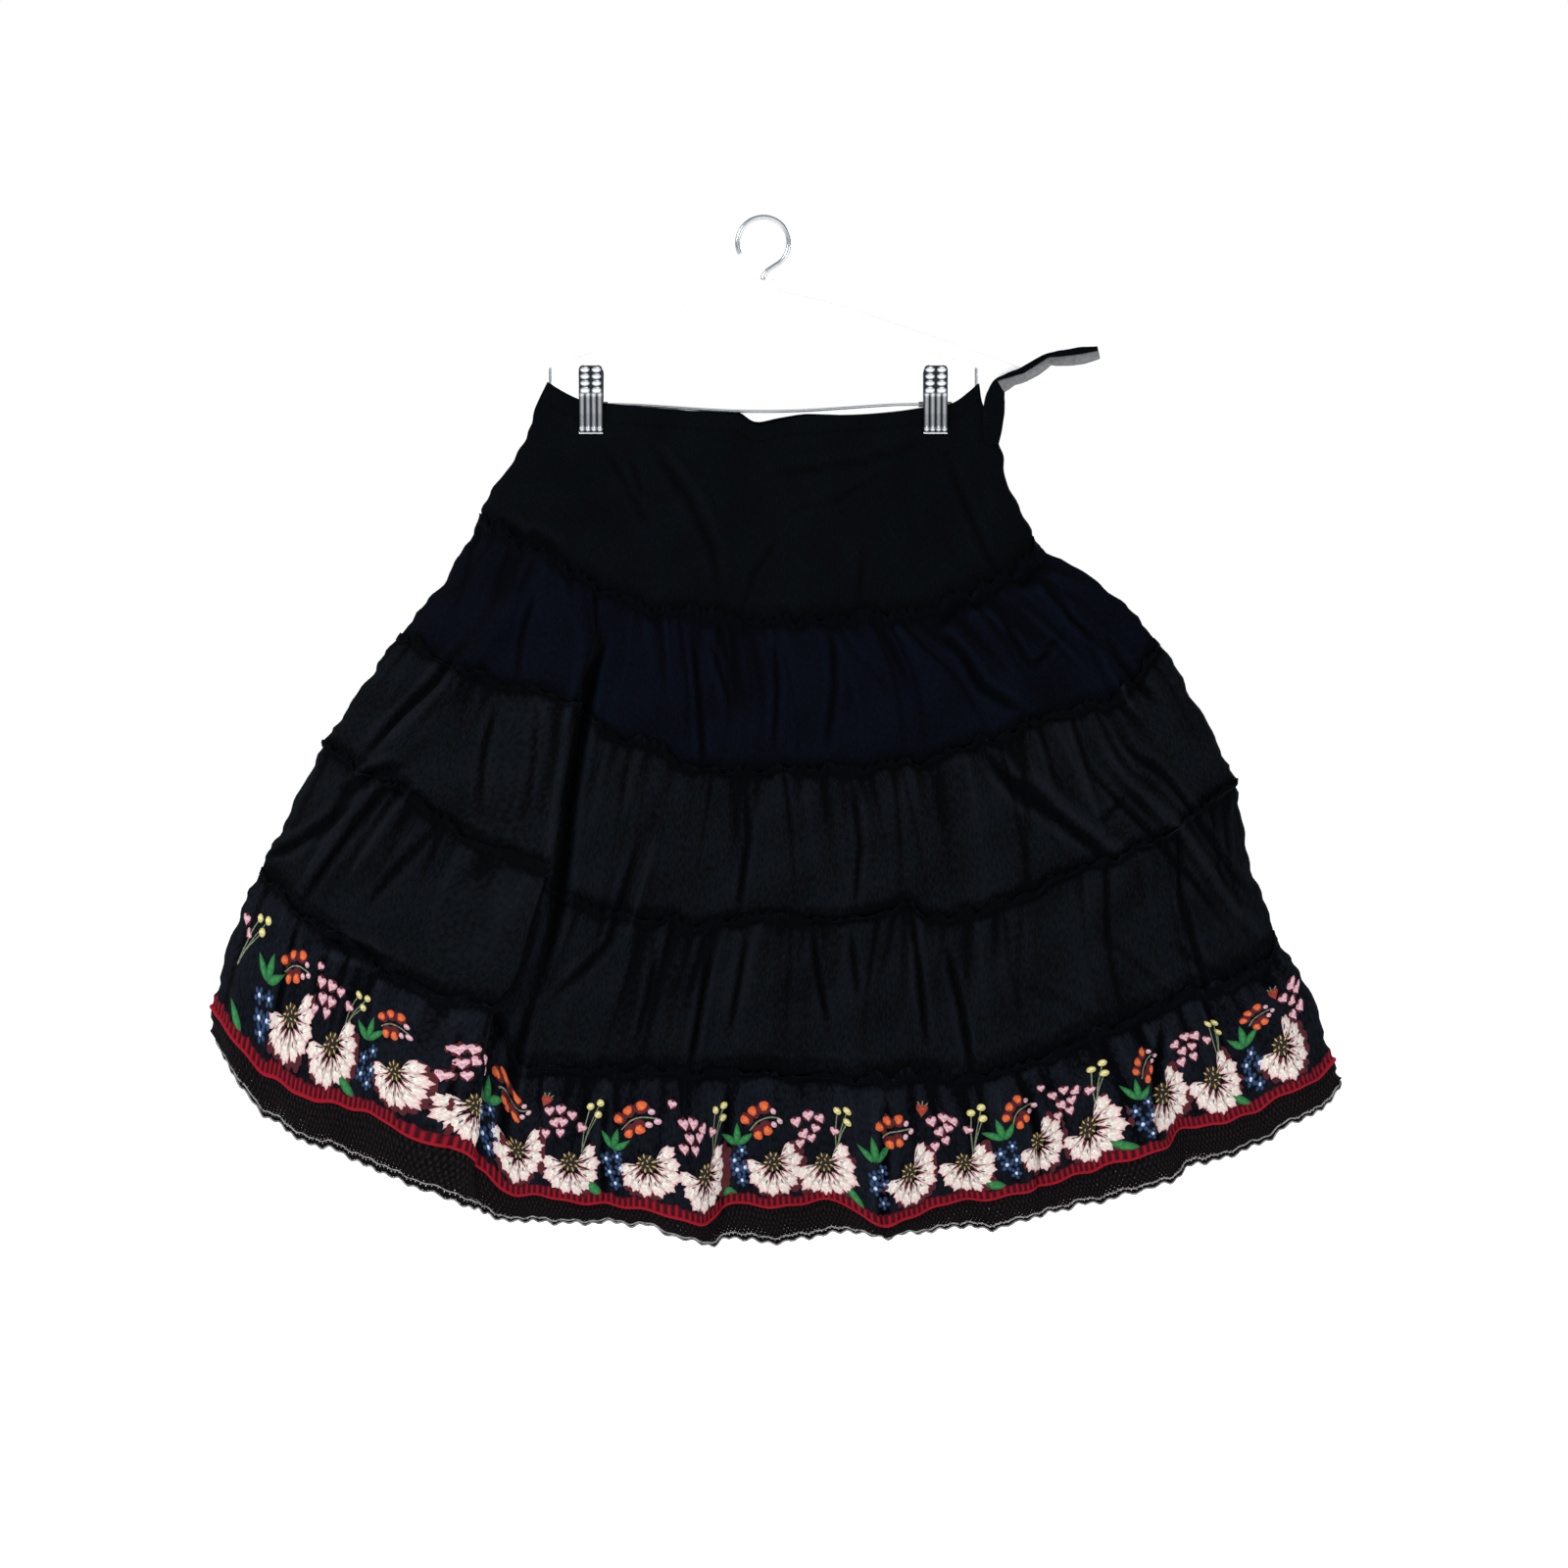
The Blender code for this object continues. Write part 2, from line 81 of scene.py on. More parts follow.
middle_x, middle_z = seen(PICTURE / 2, PICTURE / 2)
distance = PICTURE * PIXEL * LENS / SENSOR
camera_place = metres((middle_x, FRONT_Y - distance, middle_z))
bpy.ops.object.camera_add(location=camera_place, rotation=(math.pi / 2, 0, 0))
camera = bpy.context.active_object
camera.data.lens = LENS
camera.data.sensor_width = SENSOR
camera.data.clip_end = VIEW_DEPTH
bpy.context.scene.camera = camera
print("camera", rounded(camera_place))

# %% [markdown]
# The room is plain: a wide white floor, lit brightly on its own, and soft lights. The surround looks white but
# gives little light, because black cloth shows its folds only where light grazes it. The main light stands
# high on one side.

# %% Room and lights
DIM_TINT, DIM_STRENGTH = (0.9, 0.95, 1.0, 1), 0.42
WHITE = (1, 1, 1, 1)
FLOOR_Z, FLOOR_SIZE = -0.93, 40

bpy.context.scene.view_settings.view_transform = "Standard"
world = bpy.data.worlds.new("white surround")
world.use_nodes = True
nodes, links = world.node_tree.nodes, world.node_tree.links
dim, bright = nodes["Background"], nodes.new("ShaderNodeBackground")
dim.inputs["Color"].default_value = DIM_TINT
dim.inputs["Strength"].default_value = DIM_STRENGTH
bright.inputs["Color"].default_value = WHITE
looked_at, either = nodes.new("ShaderNodeLightPath"), nodes.new("ShaderNodeMixShader")
links.new(looked_at.outputs["Is Camera Ray"], either.inputs[0])
links.new(dim.outputs[0], either.inputs[1])
links.new(bright.outputs[0], either.inputs[2])
links.new(either.outputs[0], nodes["World Output"].inputs["Surface"])
bpy.context.scene.world = world

bpy.ops.mesh.primitive_grid_add(x_subdivisions=8, y_subdivisions=8, size=FLOOR_SIZE, location=(0, 0, FLOOR_Z))
floor = bpy.context.active_object
floor.name = "floor"

Light = namedtuple("Light", "name place aim size watts")
LIGHTS = (
    Light("high left softbox", (-1.7, -1.4, 1.0), (0, 0, -0.45), 0.8, 50),
    Light("low right softbox", (2.0, -1.3, -0.5), (0, 0, -0.45), 1.2, 15),
    Light("back softbox", (1.5, 2.0, 0.7), (0, 0, -0.45), 1.2, 40),
    Light("front window", (0.5, -3.4, 1.2), (0, 0, -0.5), 1.6, 16),
)
for light in LIGHTS:
    bpy.ops.object.light_add(type="AREA", location=light.place)
    lamp = bpy.context.active_object
    lamp.name = light.name
    lamp.data.size = light.size
    lamp.data.energy = light.watts
    reach = np.array(light.aim) - np.array(light.place)
    lamp.rotation_euler = (math.acos(-reach[2] / np.linalg.norm(reach)), 0, math.atan2(-reach[0], reach[1]))
print("lights:", [light.name for light in LIGHTS])

# %% [markdown]
# ## Shader maths
# A finish is worked out from numbers that vary over the surface. A small class wraps such a number, so that
# ordinary Python arithmetic on it adds the nodes, and another makes any other node from its type, its
# settings and the values of its sockets.


# %% Shader helpers
COLOUR_A, COLOUR_B, COLOUR_OUT = 6, 7, 2
ATTRIBUTE_NUMBER = 2
OBJECT_PLACE = 3


class Varying:
    """A number or colour that varies over a surface. Arithmetic on it adds Math nodes."""

    def __init__(self, finish, socket):
        self.finish = finish
        self.socket = socket

    def maths(self, operation, first, second):
        return self.finish.node("ShaderNodeMath", {"operation": operation}, (first, second))

    def __add__(self, other):
        return self.maths("ADD", self, other)

    __radd__ = __add__

    def __mul__(self, other):
        return self.maths("MULTIPLY", self, other)

    __rmul__ = __mul__

    def __sub__(self, other):
        return self.maths("SUBTRACT", self, other)

    def __rsub__(self, other):
        return self.maths("SUBTRACT", other, self)

    def __pow__(self, other):
        return self.maths("POWER", self, other)


class Finish:
    """One material and its nodes."""

    def __init__(self, name, **plain):
        self.material = bpy.data.materials.new(name)
        self.material.use_nodes = True
        self.tree = self.material.node_tree
        self.shader = self.tree.nodes["Principled BSDF"]
        for socket, value in plain.items():
            self.feed(socket.replace("_", " "), value)

    def put(self, socket, value):
        if isinstance(value, Varying):
            self.tree.links.new(value.socket, socket)
        else:
            socket.default_value = value

    def node(self, kind, settings=None, sockets=(), output=0):
        """Any node: its type, its settings, the values or links of its sockets, and the output wanted."""
        made = self.tree.nodes.new(kind)
        for key, value in (settings or {}).items():
            setattr(made, key, value)
        pairs = sockets.items() if isinstance(sockets, dict) else enumerate(sockets)
        for socket, value in pairs:
            self.put(made.inputs[socket], value)
        return Varying(self, made.outputs[output])

    def feed(self, socket, value):
        self.put(self.shader.inputs[socket], value)

    def blend(self, factor, first, second, mode="MIX"):
        """A colour between two others, or another mix of the two."""
        first, second = (c if isinstance(c, Varying) else (*c, 1) for c in (first, second))
        sockets = {0: factor, COLOUR_A: first, COLOUR_B: second}
        return self.node("ShaderNodeMix", {"data_type": "RGBA", "blend_type": mode}, sockets, COLOUR_OUT)

    def place(self, across, down):
        """The piece's own map, in centimetres of flat cloth, stretched by the two factors."""
        flat = self.node("ShaderNodeUVMap", {"uv_map": "flat_cm"})
        return self.node("ShaderNodeVectorMath", {"operation": "MULTIPLY"}, (flat, (across, down, 1)))

    def noise(self, across, down, detail=3.0):
        where = self.place(across, down)
        return self.node("ShaderNodeTexNoise", None, {"Vector": where, "Scale": 1.0, "Detail": detail})

    def grain(self, size):
        """Noise in the piece's own place, in grains of about so many millimetres."""
        where = self.node("ShaderNodeTexCoord", output=OBJECT_PLACE)
        return self.node("ShaderNodeTexNoise", None, {"Vector": where, "Scale": 1 / (size * MM), "Detail": 3.0})

    def stripes(self, across, down):
        """A wave from 0 to 1 that repeats so many times in a centimetre across or down the cloth."""
        where = self.place(across * math.tau, down * math.tau)
        split = self.node("ShaderNodeSeparateXYZ", None, (where,))
        total = split + Varying(self, split.socket.node.outputs[1])
        return self.node("ShaderNodeMath", {"operation": "SINE"}, (total,)) * 0.5 + 0.5

    def drawn(self, name):
        """A number that the mesh carries at each vertex."""
        return self.node("ShaderNodeAttribute", {"attribute_name": name}, output=ATTRIBUTE_NUMBER)

    def bump(self, height, strength, depth):
        sockets = {"Height": height, "Strength": strength, "Distance": depth * MM}
        self.feed("Normal", self.node("ShaderNodeBump", None, sockets))


print("shader helpers:", Varying.__name__, Finish.__name__)

# %% [markdown]
# ## Cloth
# Cotton gauze is dull and slightly crinkled. Its threads are finer than a millimetre, so up close there is a
# weave, and from afar long soft streaks where the crinkle runs down the cloth. Light is painted on the raised
# folds and the crinkle's crests, and shade is painted into the hollows, along the seams and over the frills.
# The dye is bluer in the first tier and in the flounce.


# %% Cloth finishes
THREADS_A_CM = 13


def gauze(name, dark_and_shaded, pale_and_lit):
    made = Finish(name, Sheen_Weight=0.008, Sheen_Roughness=0.4, Specular_IOR_Level=0.035)
    crinkle = made.noise(5.5, 2.2, 4.0)
    patches = made.noise(0.35, 0.25)
    weave = made.stripes(THREADS_A_CM, 0) * made.stripes(0, THREADS_A_CM)
    # Mottle from the crinkle and broad patches, with painted light on the crinkle's crests and raised folds and
    # painted shade in the hollows, seams and frills, from the ridge tone.
    mottle_and_painted_light = crinkle * 1.5 + patches * 0.4 + made.drawn("ridge") * 0.9 - 1.05
    made.feed("Base Color", made.blend(mottle_and_painted_light, dark_and_shaded, pale_and_lit))
    made.feed("Roughness", 0.75 + crinkle * 0.2)
    made.bump(crinkle * 0.85 + weave * 0.15, 0.8, 0.9)
    return made.material


# Each finish runs from a dark that is also painted shade to a pale that is also painted light.
black_gauze = gauze("black cotton gauze", (0.0001, 0.0003, 0.0006), (0.0046, 0.0064, 0.0092))
yoke_gauze = gauze("black yoke gauze", (0.0001, 0.0003, 0.0006), (0.0013, 0.0025, 0.0040))
blue_gauze = gauze("blue-black gauze", (0.0001, 0.0003, 0.0012), (0.0012, 0.0026, 0.0070))
flounce_gauze = gauze("blue-black flounce gauze", (0.0001, 0.0003, 0.0010), (0.0078, 0.0104, 0.0152))
print("cloth finishes made")

# %% [markdown]
# ## The form of the skirt
# These are the same named lines and folds that the solids were lofted from: one row for each level down the
# skirt, from the waist (0) over the four seams (1 to 4) to the red edge (5) and the lace's points (6). The
# large folds get a little more overhang here than in the solids, because a thin shell can carry it.

# %% Levels, folds and gathers
FRONT, BACK = -1, 1
WALL = 1.2
CLIP_X, CLIP_WIDTH, CLIP_LAYER = 134.0, 18.5, 0.85
Line = namedtuple("Line", "level left_x left_z middle_z right_x right_z left_bend right_bend half_depth")
LINES = (
    Line(0.00, -168, 21, -12, 168, 20, 2.0, 2.6, 8),
    Line(0.12, -177, 2, -30, 171, 3, 1.9, 2.5, 10),
    Line(0.25, -181, -12, -50, 181, -15, 2.0, 2.5, 13),
    Line(0.50, -189, -33, -90, 185, -37, 1.8, 2.8, 19),
    Line(0.75, -207, -57, -130, 194, -67, 1.6, 3.2, 24),
    Line(1.00, -222, -89, -169, 214, -106, 1.5, 3.5, 28),
    Line(1.15, -232, -107, -186, 232, -117, 1.5, 3.3, 30),
    Line(1.50, -248, -134, -226, 267, -140, 1.45, 3.0, 33),
    Line(2.00, -285, -179, -283, 308, -183, 1.45, 2.8, 36),
    Line(2.50, -314, -220, -340, 344, -243, 1.6, 2.7, 39),
    Line(3.00, -342, -262, -398, 367, -292, 1.8, 2.6, 41),
    Line(3.50, -370, -318, -457, 376, -344, 2.2, 2.5, 43),
    Line(4.00, -392, -361, -515, 400, -412, 2.6, 2.4, 45),
    Line(4.50, -411, -404, -565, 423, -449, 2.5, 2.3, 47),
    Line(5.00, -428, -466, -616, 443, -507, 2.6, 2.2, 49),
    Line(6.00, -424, -494, -640, 449, -526, 3.2, 2.4, 50),
)
LINE_SAMPLES = 721
PLAN_SQUARENESS = 2.8
BACK_WAIST_RISE = 4.5
HANG_OF_CREST = 0.25
PINCH_MARGIN, PINCH_REACH = 2, 20
PINCH_UNTIL, PINCH_FADE = 0.27, 0.5
Fold = namedtuple("Fold", "side top bottom top_share bottom_share half_width height lean")
FOLDS = (
    Fold(FRONT, 1.0, 6.6, 0.190, 0.252, 34, 17, 2.2),
    Fold(FRONT, 1.3, 4.4, 0.110, 0.040, 26, 9, 0.5),
    Fold(FRONT, 1.1, 3.6, 0.800, 0.900, 28, 9, -0.5),
    Fold(FRONT, 2.0, 5.0, 0.900, 0.960, 24, 8, -0.3),
    Fold(FRONT, 3.4, 6.9, 0.430, 0.440, 36, 10, 0.8),
    Fold(FRONT, 3.6, 6.9, 0.600, 0.605, 40, 11, 0.2),
    Fold(FRONT, 3.8, 6.9, 0.700, 0.710, 30, 8, 0.5),
    Fold(FRONT, 3.6, 6.9, 0.810, 0.820, 34, 10, 0.8),
    Fold(BACK, 1.0, 6.6, 0.300, 0.290, 34, 13, -0.9),
    Fold(BACK, 1.2, 5.0, 0.140, 0.080, 28, 9, -0.4),
    Fold(BACK, 1.1, 4.0, 0.560, 0.600, 32, 10, 0.5),
    Fold(BACK, 2.0, 6.6, 0.780, 0.820, 34, 12, 0.8),
    Fold(BACK, 3.5, 6.9, 0.420, 0.430, 36, 10, -0.4),
    Fold(BACK, 3.7, 6.9, 0.660, 0.680, 30, 9, 0.3),
)
Gather = namedtuple("Gather", "seam height seed")
GATHERS = (Gather(1, 3.0, 11), Gather(2, 3.5, 12), Gather(3, 4.0, 13), Gather(4, 7.0, 14))
WAVES = 13
WARP, WARP_WAVES = 0.008, 19
CREST_RANGE = (0.35, 1.0)
GATHER_FULL_AT = 0.25
HEM_SEAM = 4
END_TAPER = 0.05
LEVEL_HEIGHTS = (157, 114, 115, 117, 101, 24)


def smooth_step(t):
    t = np.clip(t, 0.0, 1.0)
    return t * t * (3 - 2 * t)


def line_at(level):
    """The table's columns at any level, on a smooth curve through the rows."""
    rows = np.array(LINES, float)
    i = int(np.clip(np.searchsorted(rows[:, 0], level) - 1, 0, len(rows) - 2))
    before, here, after, beyond = (rows[int(np.clip(j, 0, len(rows) - 1))] for j in (i - 1, i, i + 1, i + 2))
    span = after[0] - here[0]
    t = (level - here[0]) / span
    slope_here = (after - before) / max(after[0] - before[0], 1e-9) * span
    slope_after = (beyond - here) / max(beyond[0] - here[0], 1e-9) * span
    found = (
        (2 * t**3 - 3 * t**2 + 1) * here
        + (t**3 - 2 * t**2 + t) * slope_here
        + (3 * t**2 - 2 * t**3) * after
        + (t**3 - t**2) * slope_after
    )
    return Line(*found)


def plain_line(level, side, shares):
    """Points of the unfolded cloth at a level, the outward direction in plan, and the line's length."""
    row = line_at(level)
    v = -np.cos(np.linspace(0, math.pi, LINE_SAMPLES))
    x = (row.left_x + row.right_x) / 2 + v * (row.right_x - row.left_x) / 2
    rise = np.where(v < 0, row.left_z - row.middle_z, row.right_z - row.middle_z)
    bend = np.where(v < 0, row.left_bend, row.right_bend)
    z = row.middle_z + rise * np.abs(v) ** bend
    z += (side > 0) * BACK_WAIST_RISE * (1 - smooth_step(level / 0.3)) * (1 - smooth_step(np.abs(v) / 0.6))
    inside_clip = np.minimum(np.abs(x) - CLIP_X + CLIP_WIDTH / 2 + PINCH_MARGIN, 0)
    pinch = np.exp(-((inside_clip / PINCH_REACH) ** 2)) * (1 - smooth_step((level - PINCH_UNTIL) / PINCH_FADE))
    open_depth = row.half_depth * np.sqrt(np.clip(1 - np.abs(v) ** PLAN_SQUARENESS, 0, 1))
    y = side * (open_depth * (1 - pinch) + CLIP_LAYER * pinch)
    curve = np.stack([x, y, z], axis=1)
    along = np.concatenate([[0], np.cumsum(np.linalg.norm(np.diff(curve, axis=0), axis=1))])
    at = shares * along[-1]
    points = np.stack([np.interp(at, along, curve[:, k]) for k in range(3)], axis=1)
    tangent = np.gradient(curve, axis=0)
    tangent[:, 2] = 0
    tangent /= np.linalg.norm(tangent, axis=1)[:, None]
    outward = np.stack([-side * tangent[:, 1], side * tangent[:, 0], tangent[:, 2]], axis=1)
    outward = np.stack([np.interp(at, along, outward[:, k]) for k in range(3)], axis=1)
    return points, outward / np.linalg.norm(outward, axis=1)[:, None], along[-1]


def fold_height(side, level, shares, length):
    """How far the large folds stand out, and how far they lean along the line, in millimetres."""
    out = np.zeros(len(shares))
    lean = np.zeros(len(shares))
    for fold in FOLDS:
        if fold.side != side or not fold.top < level < fold.bottom:
            continue
        down = (level - fold.top) / (fold.bottom - fold.top)
        centre = fold.top_share + (fold.bottom_share - fold.top_share) * down
        across = np.clip((shares - centre) * length / fold.half_width, -1, 1)
        height = fold.height * math.sin(math.pi * down**0.75) * np.cos(across * math.pi / 2) ** 2
        out += height
        lean += fold.lean * height
    return out, lean


def gather_height(side, level, shares):
    """How far the broad gathers under the seam above this level stand out, in millimetres."""
    seam = min(int(level), HEM_SEAM)
    if seam < 1:
        return np.zeros(len(shares))
    gather = GATHERS[seam - 1]
    crests = np.random.default_rng(gather.seed + (side > 0) * 100).uniform(*CREST_RANGE, WAVES)
    warped = np.clip(shares + WARP * np.sin(shares * WARP_WAVES + gather.seed), 0, 0.9999) * WAVES
    wave = crests[warped.astype(int)] * (0.5 - 0.5 * np.cos(2 * math.pi * warped))
    down = level - seam
    if seam == HEM_SEAM:
        strength = smooth_step(down / 0.8)
    else:
        strength = smooth_step(down / GATHER_FULL_AT) * (1 - smooth_step((down - GATHER_FULL_AT) / 0.75))
    return gather.height * strength * wave


def draped_line(level, side, shares):
    """Points of the folded and gathered cloth at a level, and the line's length."""
    points, outward, length = plain_line(level, side, shares)
    fold, lean = fold_height(side, level, shares, length)
    taper = smooth_step(np.minimum(shares, 1 - shares) / END_TAPER)
    raised = taper * (fold + gather_height(side, level, shares))
    along = np.stack([side * outward[:, 1], -side * outward[:, 0], outward[:, 2]], axis=1)
    points = points + outward * raised[:, None] + along * (taper * lean)[:, None]
    points[:, 2] -= HANG_OF_CREST * raised
    return points, length


for word, level in (("waist", 0), ("red edge", 5)):
    row = line_at(level)
    print(word, round(row.right_x - row.left_x), "mm wide")

# %% [markdown]
# ## Creases
# The photograph shows where the cloth is creased: long diagonal folds at both sides, fans of small wrinkles
# from the clips, and short gathers that run down from each seam. The long ones are listed, each as a
# line of points in the picture with its half width and height in millimetres. A height below zero is a
# hollow. Creases in fine gauze are sharp, so one factor narrows them all. The back, which the photograph
# doesn't show, gets the same creases the other way round.

# %% Creases, listed one by one
Crease = namedtuple("Crease", "half_width height points")
CREASES = (
    Crease(6.5, -6.0, ((470, 655), (440, 695), (400, 737), (366, 772))),
    Crease(8, 2.5, ((462, 690), (425, 722), (392, 762))),
    Crease(6, -4.5, ((404, 790), (370, 832), (332, 880), (300, 925))),
    Crease(6, 3.0, ((424, 800), (392, 846), (350, 902))),
    Crease(6, -3.0, ((446, 835), (412, 880), (372, 930))),
    Crease(8, -7.0, ((326, 960), (356, 975), (394, 984))),
    Crease(8, -7.0, ((408, 784), (378, 792), (350, 808))),
    Crease(7, -6.0, ((352, 822), (318, 850), (288, 868), (260, 874))),
    Crease(6, 3.0, ((372, 812), (336, 852), (306, 896))),
    Crease(10, -6.0, ((506, 538), (540, 544), (576, 562))),
    Crease(9, -5.0, ((1038, 588), (1060, 574), (1080, 562))),
    Crease(8, -4.0, ((952, 636), (985, 616), (1012, 602))),
    Crease(8, -8.0, ((610, 640), (600, 690), (592, 742), (580, 805), (572, 870), (562, 930), (548, 985))),
    Crease(6, -5.0, ((546, 985), (530, 1040), (518, 1105), (508, 1190))),
    Crease(6, -3.5, ((655, 838), (640, 880), (620, 940), (562, 1002))),
    Crease(5, 2.0, ((668, 846), (654, 890), (634, 950))),
    Crease(6.5, -4.5, ((952, 636), (985, 668), (1003, 700), (1048, 732))),
    Crease(8, -6.5, ((1000, 770), (1050, 815), (1092, 847), (1134, 878))),
    Crease(8, 2.5, ((1040, 780), (1080, 815), (1124, 850), (1160, 872))),
    Crease(6.5, 4.5, ((1122, 742), (1152, 782), (1182, 816), (1212, 852), (1252, 902), (1300, 942))),
    Crease(5, -3.2, ((1100, 765), (1136, 802), (1170, 842), (1216, 892), (1262, 942))),
    Crease(5, -4.5, ((1142, 730), (1176, 772), (1208, 812), (1242, 858), (1288, 908))),
    Crease(5.5, 3.0, ((1118, 636), (1148, 684), (1166, 714))),
    Crease(5, -3.5, ((1132, 632), (1164, 676), (1184, 712))),
    Crease(5, -3.5, ((1018, 606), (1040, 650), (1054, 676), (1070, 664), (1092, 632))),
    Crease(5.5, -4.0, ((1062, 572), (1098, 622), (1126, 642))),
    Crease(5, 3.0, ((1044, 610), (1074, 642), (1110, 668))),
    Crease(5, -3.0, ((1120, 838), (1152, 804))),
    Crease(5, -1.6, ((640, 458), (655, 502))),
    Crease(6, -2.2, ((660, 448), (700, 505), (726, 556), (736, 606))),
    Crease(5, 1.2, ((672, 448), (712, 500), (742, 560))),
    Crease(6, -2.0, ((952, 440), (882, 470), (830, 480), (780, 482))),
    Crease(5, -1.5, ((902, 482), (850, 512), (800, 520))),
    Crease(5, -1.5, ((882, 556), (877, 622))),
    Crease(5, -1.4, ((612, 446), (640, 492), (668, 540))),
    Crease(6, -1.8, ((966, 446), (985, 500), (1005, 548), (1030, 590))),
    Crease(5, -1.3, ((800, 540), (770, 580), (752, 630))),
    Crease(4.5, -3.5, ((706, 634), (713, 700), (719, 782))),
    Crease(4.5, -2.5, ((725, 648), (746, 712))),
    Crease(5, -3.0, ((850, 640), (852, 700), (844, 760))),
    Crease(4.5, -2.5, ((790, 640), (794, 700), (790, 770))),
    Crease(5, -3.0, ((618, 640), (604, 680), (600, 720))),
    Crease(4.5, -2.5, ((545, 600), (530, 650), (524, 704))),
    Crease(5, -3.0, ((505, 712), (492, 760), (486, 820))),
    Crease(4.5, -2.5, ((548, 720), (544, 770), (532, 830))),
    Crease(4.5, -3.0, ((760, 790), (764, 850), (752, 930))),
    Crease(4.5, -2.5, ((870, 796), (878, 860), (872, 930))),
    Crease(4.5, -3.0, ((670, 955), (662, 1000), (648, 1056))),
    Crease(5, -4.5, ((728, 950), (716, 1010), (704, 1086))),
    Crease(4.5, -3.0, ((762, 950), (754, 1000), (744, 1054))),
    Crease(4.5, -3.5, ((828, 946), (836, 1000), (846, 1046))),
    Crease(4.5, -2.5, ((868, 952), (876, 1014))),
    Crease(5, -4.5, ((930, 934), (938, 990), (946, 1056))),
    Crease(5, -4.5, ((965, 952), (980, 1010), (992, 1076))),
    Crease(6, -1.0, ((1040, 990), (1084, 1012), (1130, 1046))),
    Crease(6, -1.2, ((1112, 944), (1160, 978), (1204, 1018))),
    Crease(6, -2.0, ((1198, 958), (1252, 986))),
    Crease(5, -3.0, ((1200, 880), (1216, 940), (1236, 1004))),
    Crease(6, -5.0, ((744, 1098), (741, 1160), (736, 1246))),
    Crease(6, -5.0, ((1046, 1090), (1060, 1150), (1058, 1226))),
    Crease(6, -6.0, ((1188, 1036), (1182, 1100), (1180, 1170))),
    Crease(7, -5.0, ((905, 1106), (902, 1180), (900, 1256))),
    Crease(6, -4.0, ((470, 1056), (462, 1120), (458, 1200))),
    Crease(5, -3.0, ((300, 935), (286, 990), (270, 1060))),
    Crease(5, -3.0, ((620, 1100), (616, 1160), (618, 1236))),
)
SHARPEN = 0.52
FALL, FALL_POWER = 1.5, 1.25
LIP, LIP_AT = 0.22, 2.2
GONE_FROM, REACH = 2.5, 4
END_FADE, END_SHARE = 0.25, 0.15
BACK_SHIFT = 12


def crease_relief(side, x, z):
    """How far the listed creases move the cloth in or out, in millimetres."""
    relief = np.zeros(x.shape)
    for crease in CREASES:
        path = np.array([seen(*point) for point in crease.points])
        if side == BACK:
            path[:, 0] = BACK_SHIFT - path[:, 0]
        half_width = crease.half_width * SHARPEN
        reach = half_width * REACH
        near = (x > path[:, 0].min() - reach) & (x < path[:, 0].max() + reach)
        near &= (z > path[:, 1].min() - reach) & (z < path[:, 1].max() + reach)
        if not near.any():
            continue
        at = np.stack([x[near], z[near]], axis=1)
        steps = np.diff(path, axis=0)
        runs = np.linalg.norm(steps, axis=1)
        whole = runs.sum()
        best = np.full(len(at), 1e9)
        share = np.zeros(len(at))
        for start, step, run, before in zip(path, steps, runs, np.concatenate([[0], np.cumsum(runs)])):
            t = np.clip(((at - start) @ step) / run**2, 0, 1)
            gap = np.linalg.norm(at - start - t[:, None] * step, axis=1)
            closer = gap < best
            best[closer] = gap[closer]
            share[closer] = ((before + t * run) / whole)[closer]
        ends = smooth_step(share / END_FADE) * smooth_step((1 - share) / END_FADE)
        across = best / half_width
        profile = np.exp(-FALL * across**FALL_POWER) - LIP * np.exp(-((across - LIP_AT) ** 2))
        profile *= np.exp(-np.maximum(across - GONE_FROM, 0) ** 2)
        relief[near] += crease.height * profile * (END_SHARE + (1 - END_SHARE) * ends)
    return relief


GATHER_SPACING = 4.6
GATHER_WIDTHS = (1.6, 3.6)
GATHER_DEPTHS = (-1.8, 1.0)
GATHER_LENGTHS = (12.0, 100.0)
GATHER_DRIFT = 0.10
SEAM_DRAW_IN, SEAM_HOLLOW = 5.0, 0.9


def small_gathers(side, seam, shares, down):
    """Short ridges that run down from a seam, uneven in spacing, depth and length."""
    length = draped_line(seam, side, np.array([0.0, 1.0]))[1]
    draw = np.random.default_rng(200 + seam * 10 + (side > 0))
    count = int(length / GATHER_SPACING)
    centres = draw.uniform(0, length, count)
    widths = draw.uniform(*GATHER_WIDTHS, count)
    depths = draw.uniform(*GATHER_DEPTHS, count)
    lengths = draw.uniform(*GATHER_LENGTHS, count)
    drifts = draw.normal(0, GATHER_DRIFT, count)
    relief = np.zeros(down.shape)
    for centre, width, depth, run, drift in zip(centres, widths, depths, lengths, drifts):
        across = (shares * length - centre - drift * down) / width
        relief += depth * np.exp(-(across**2) - (down / run) ** 2)
    clear = smooth_step(down / SEAM_DRAW_IN)
    return relief * clear - SEAM_HOLLOW * (1 - clear)


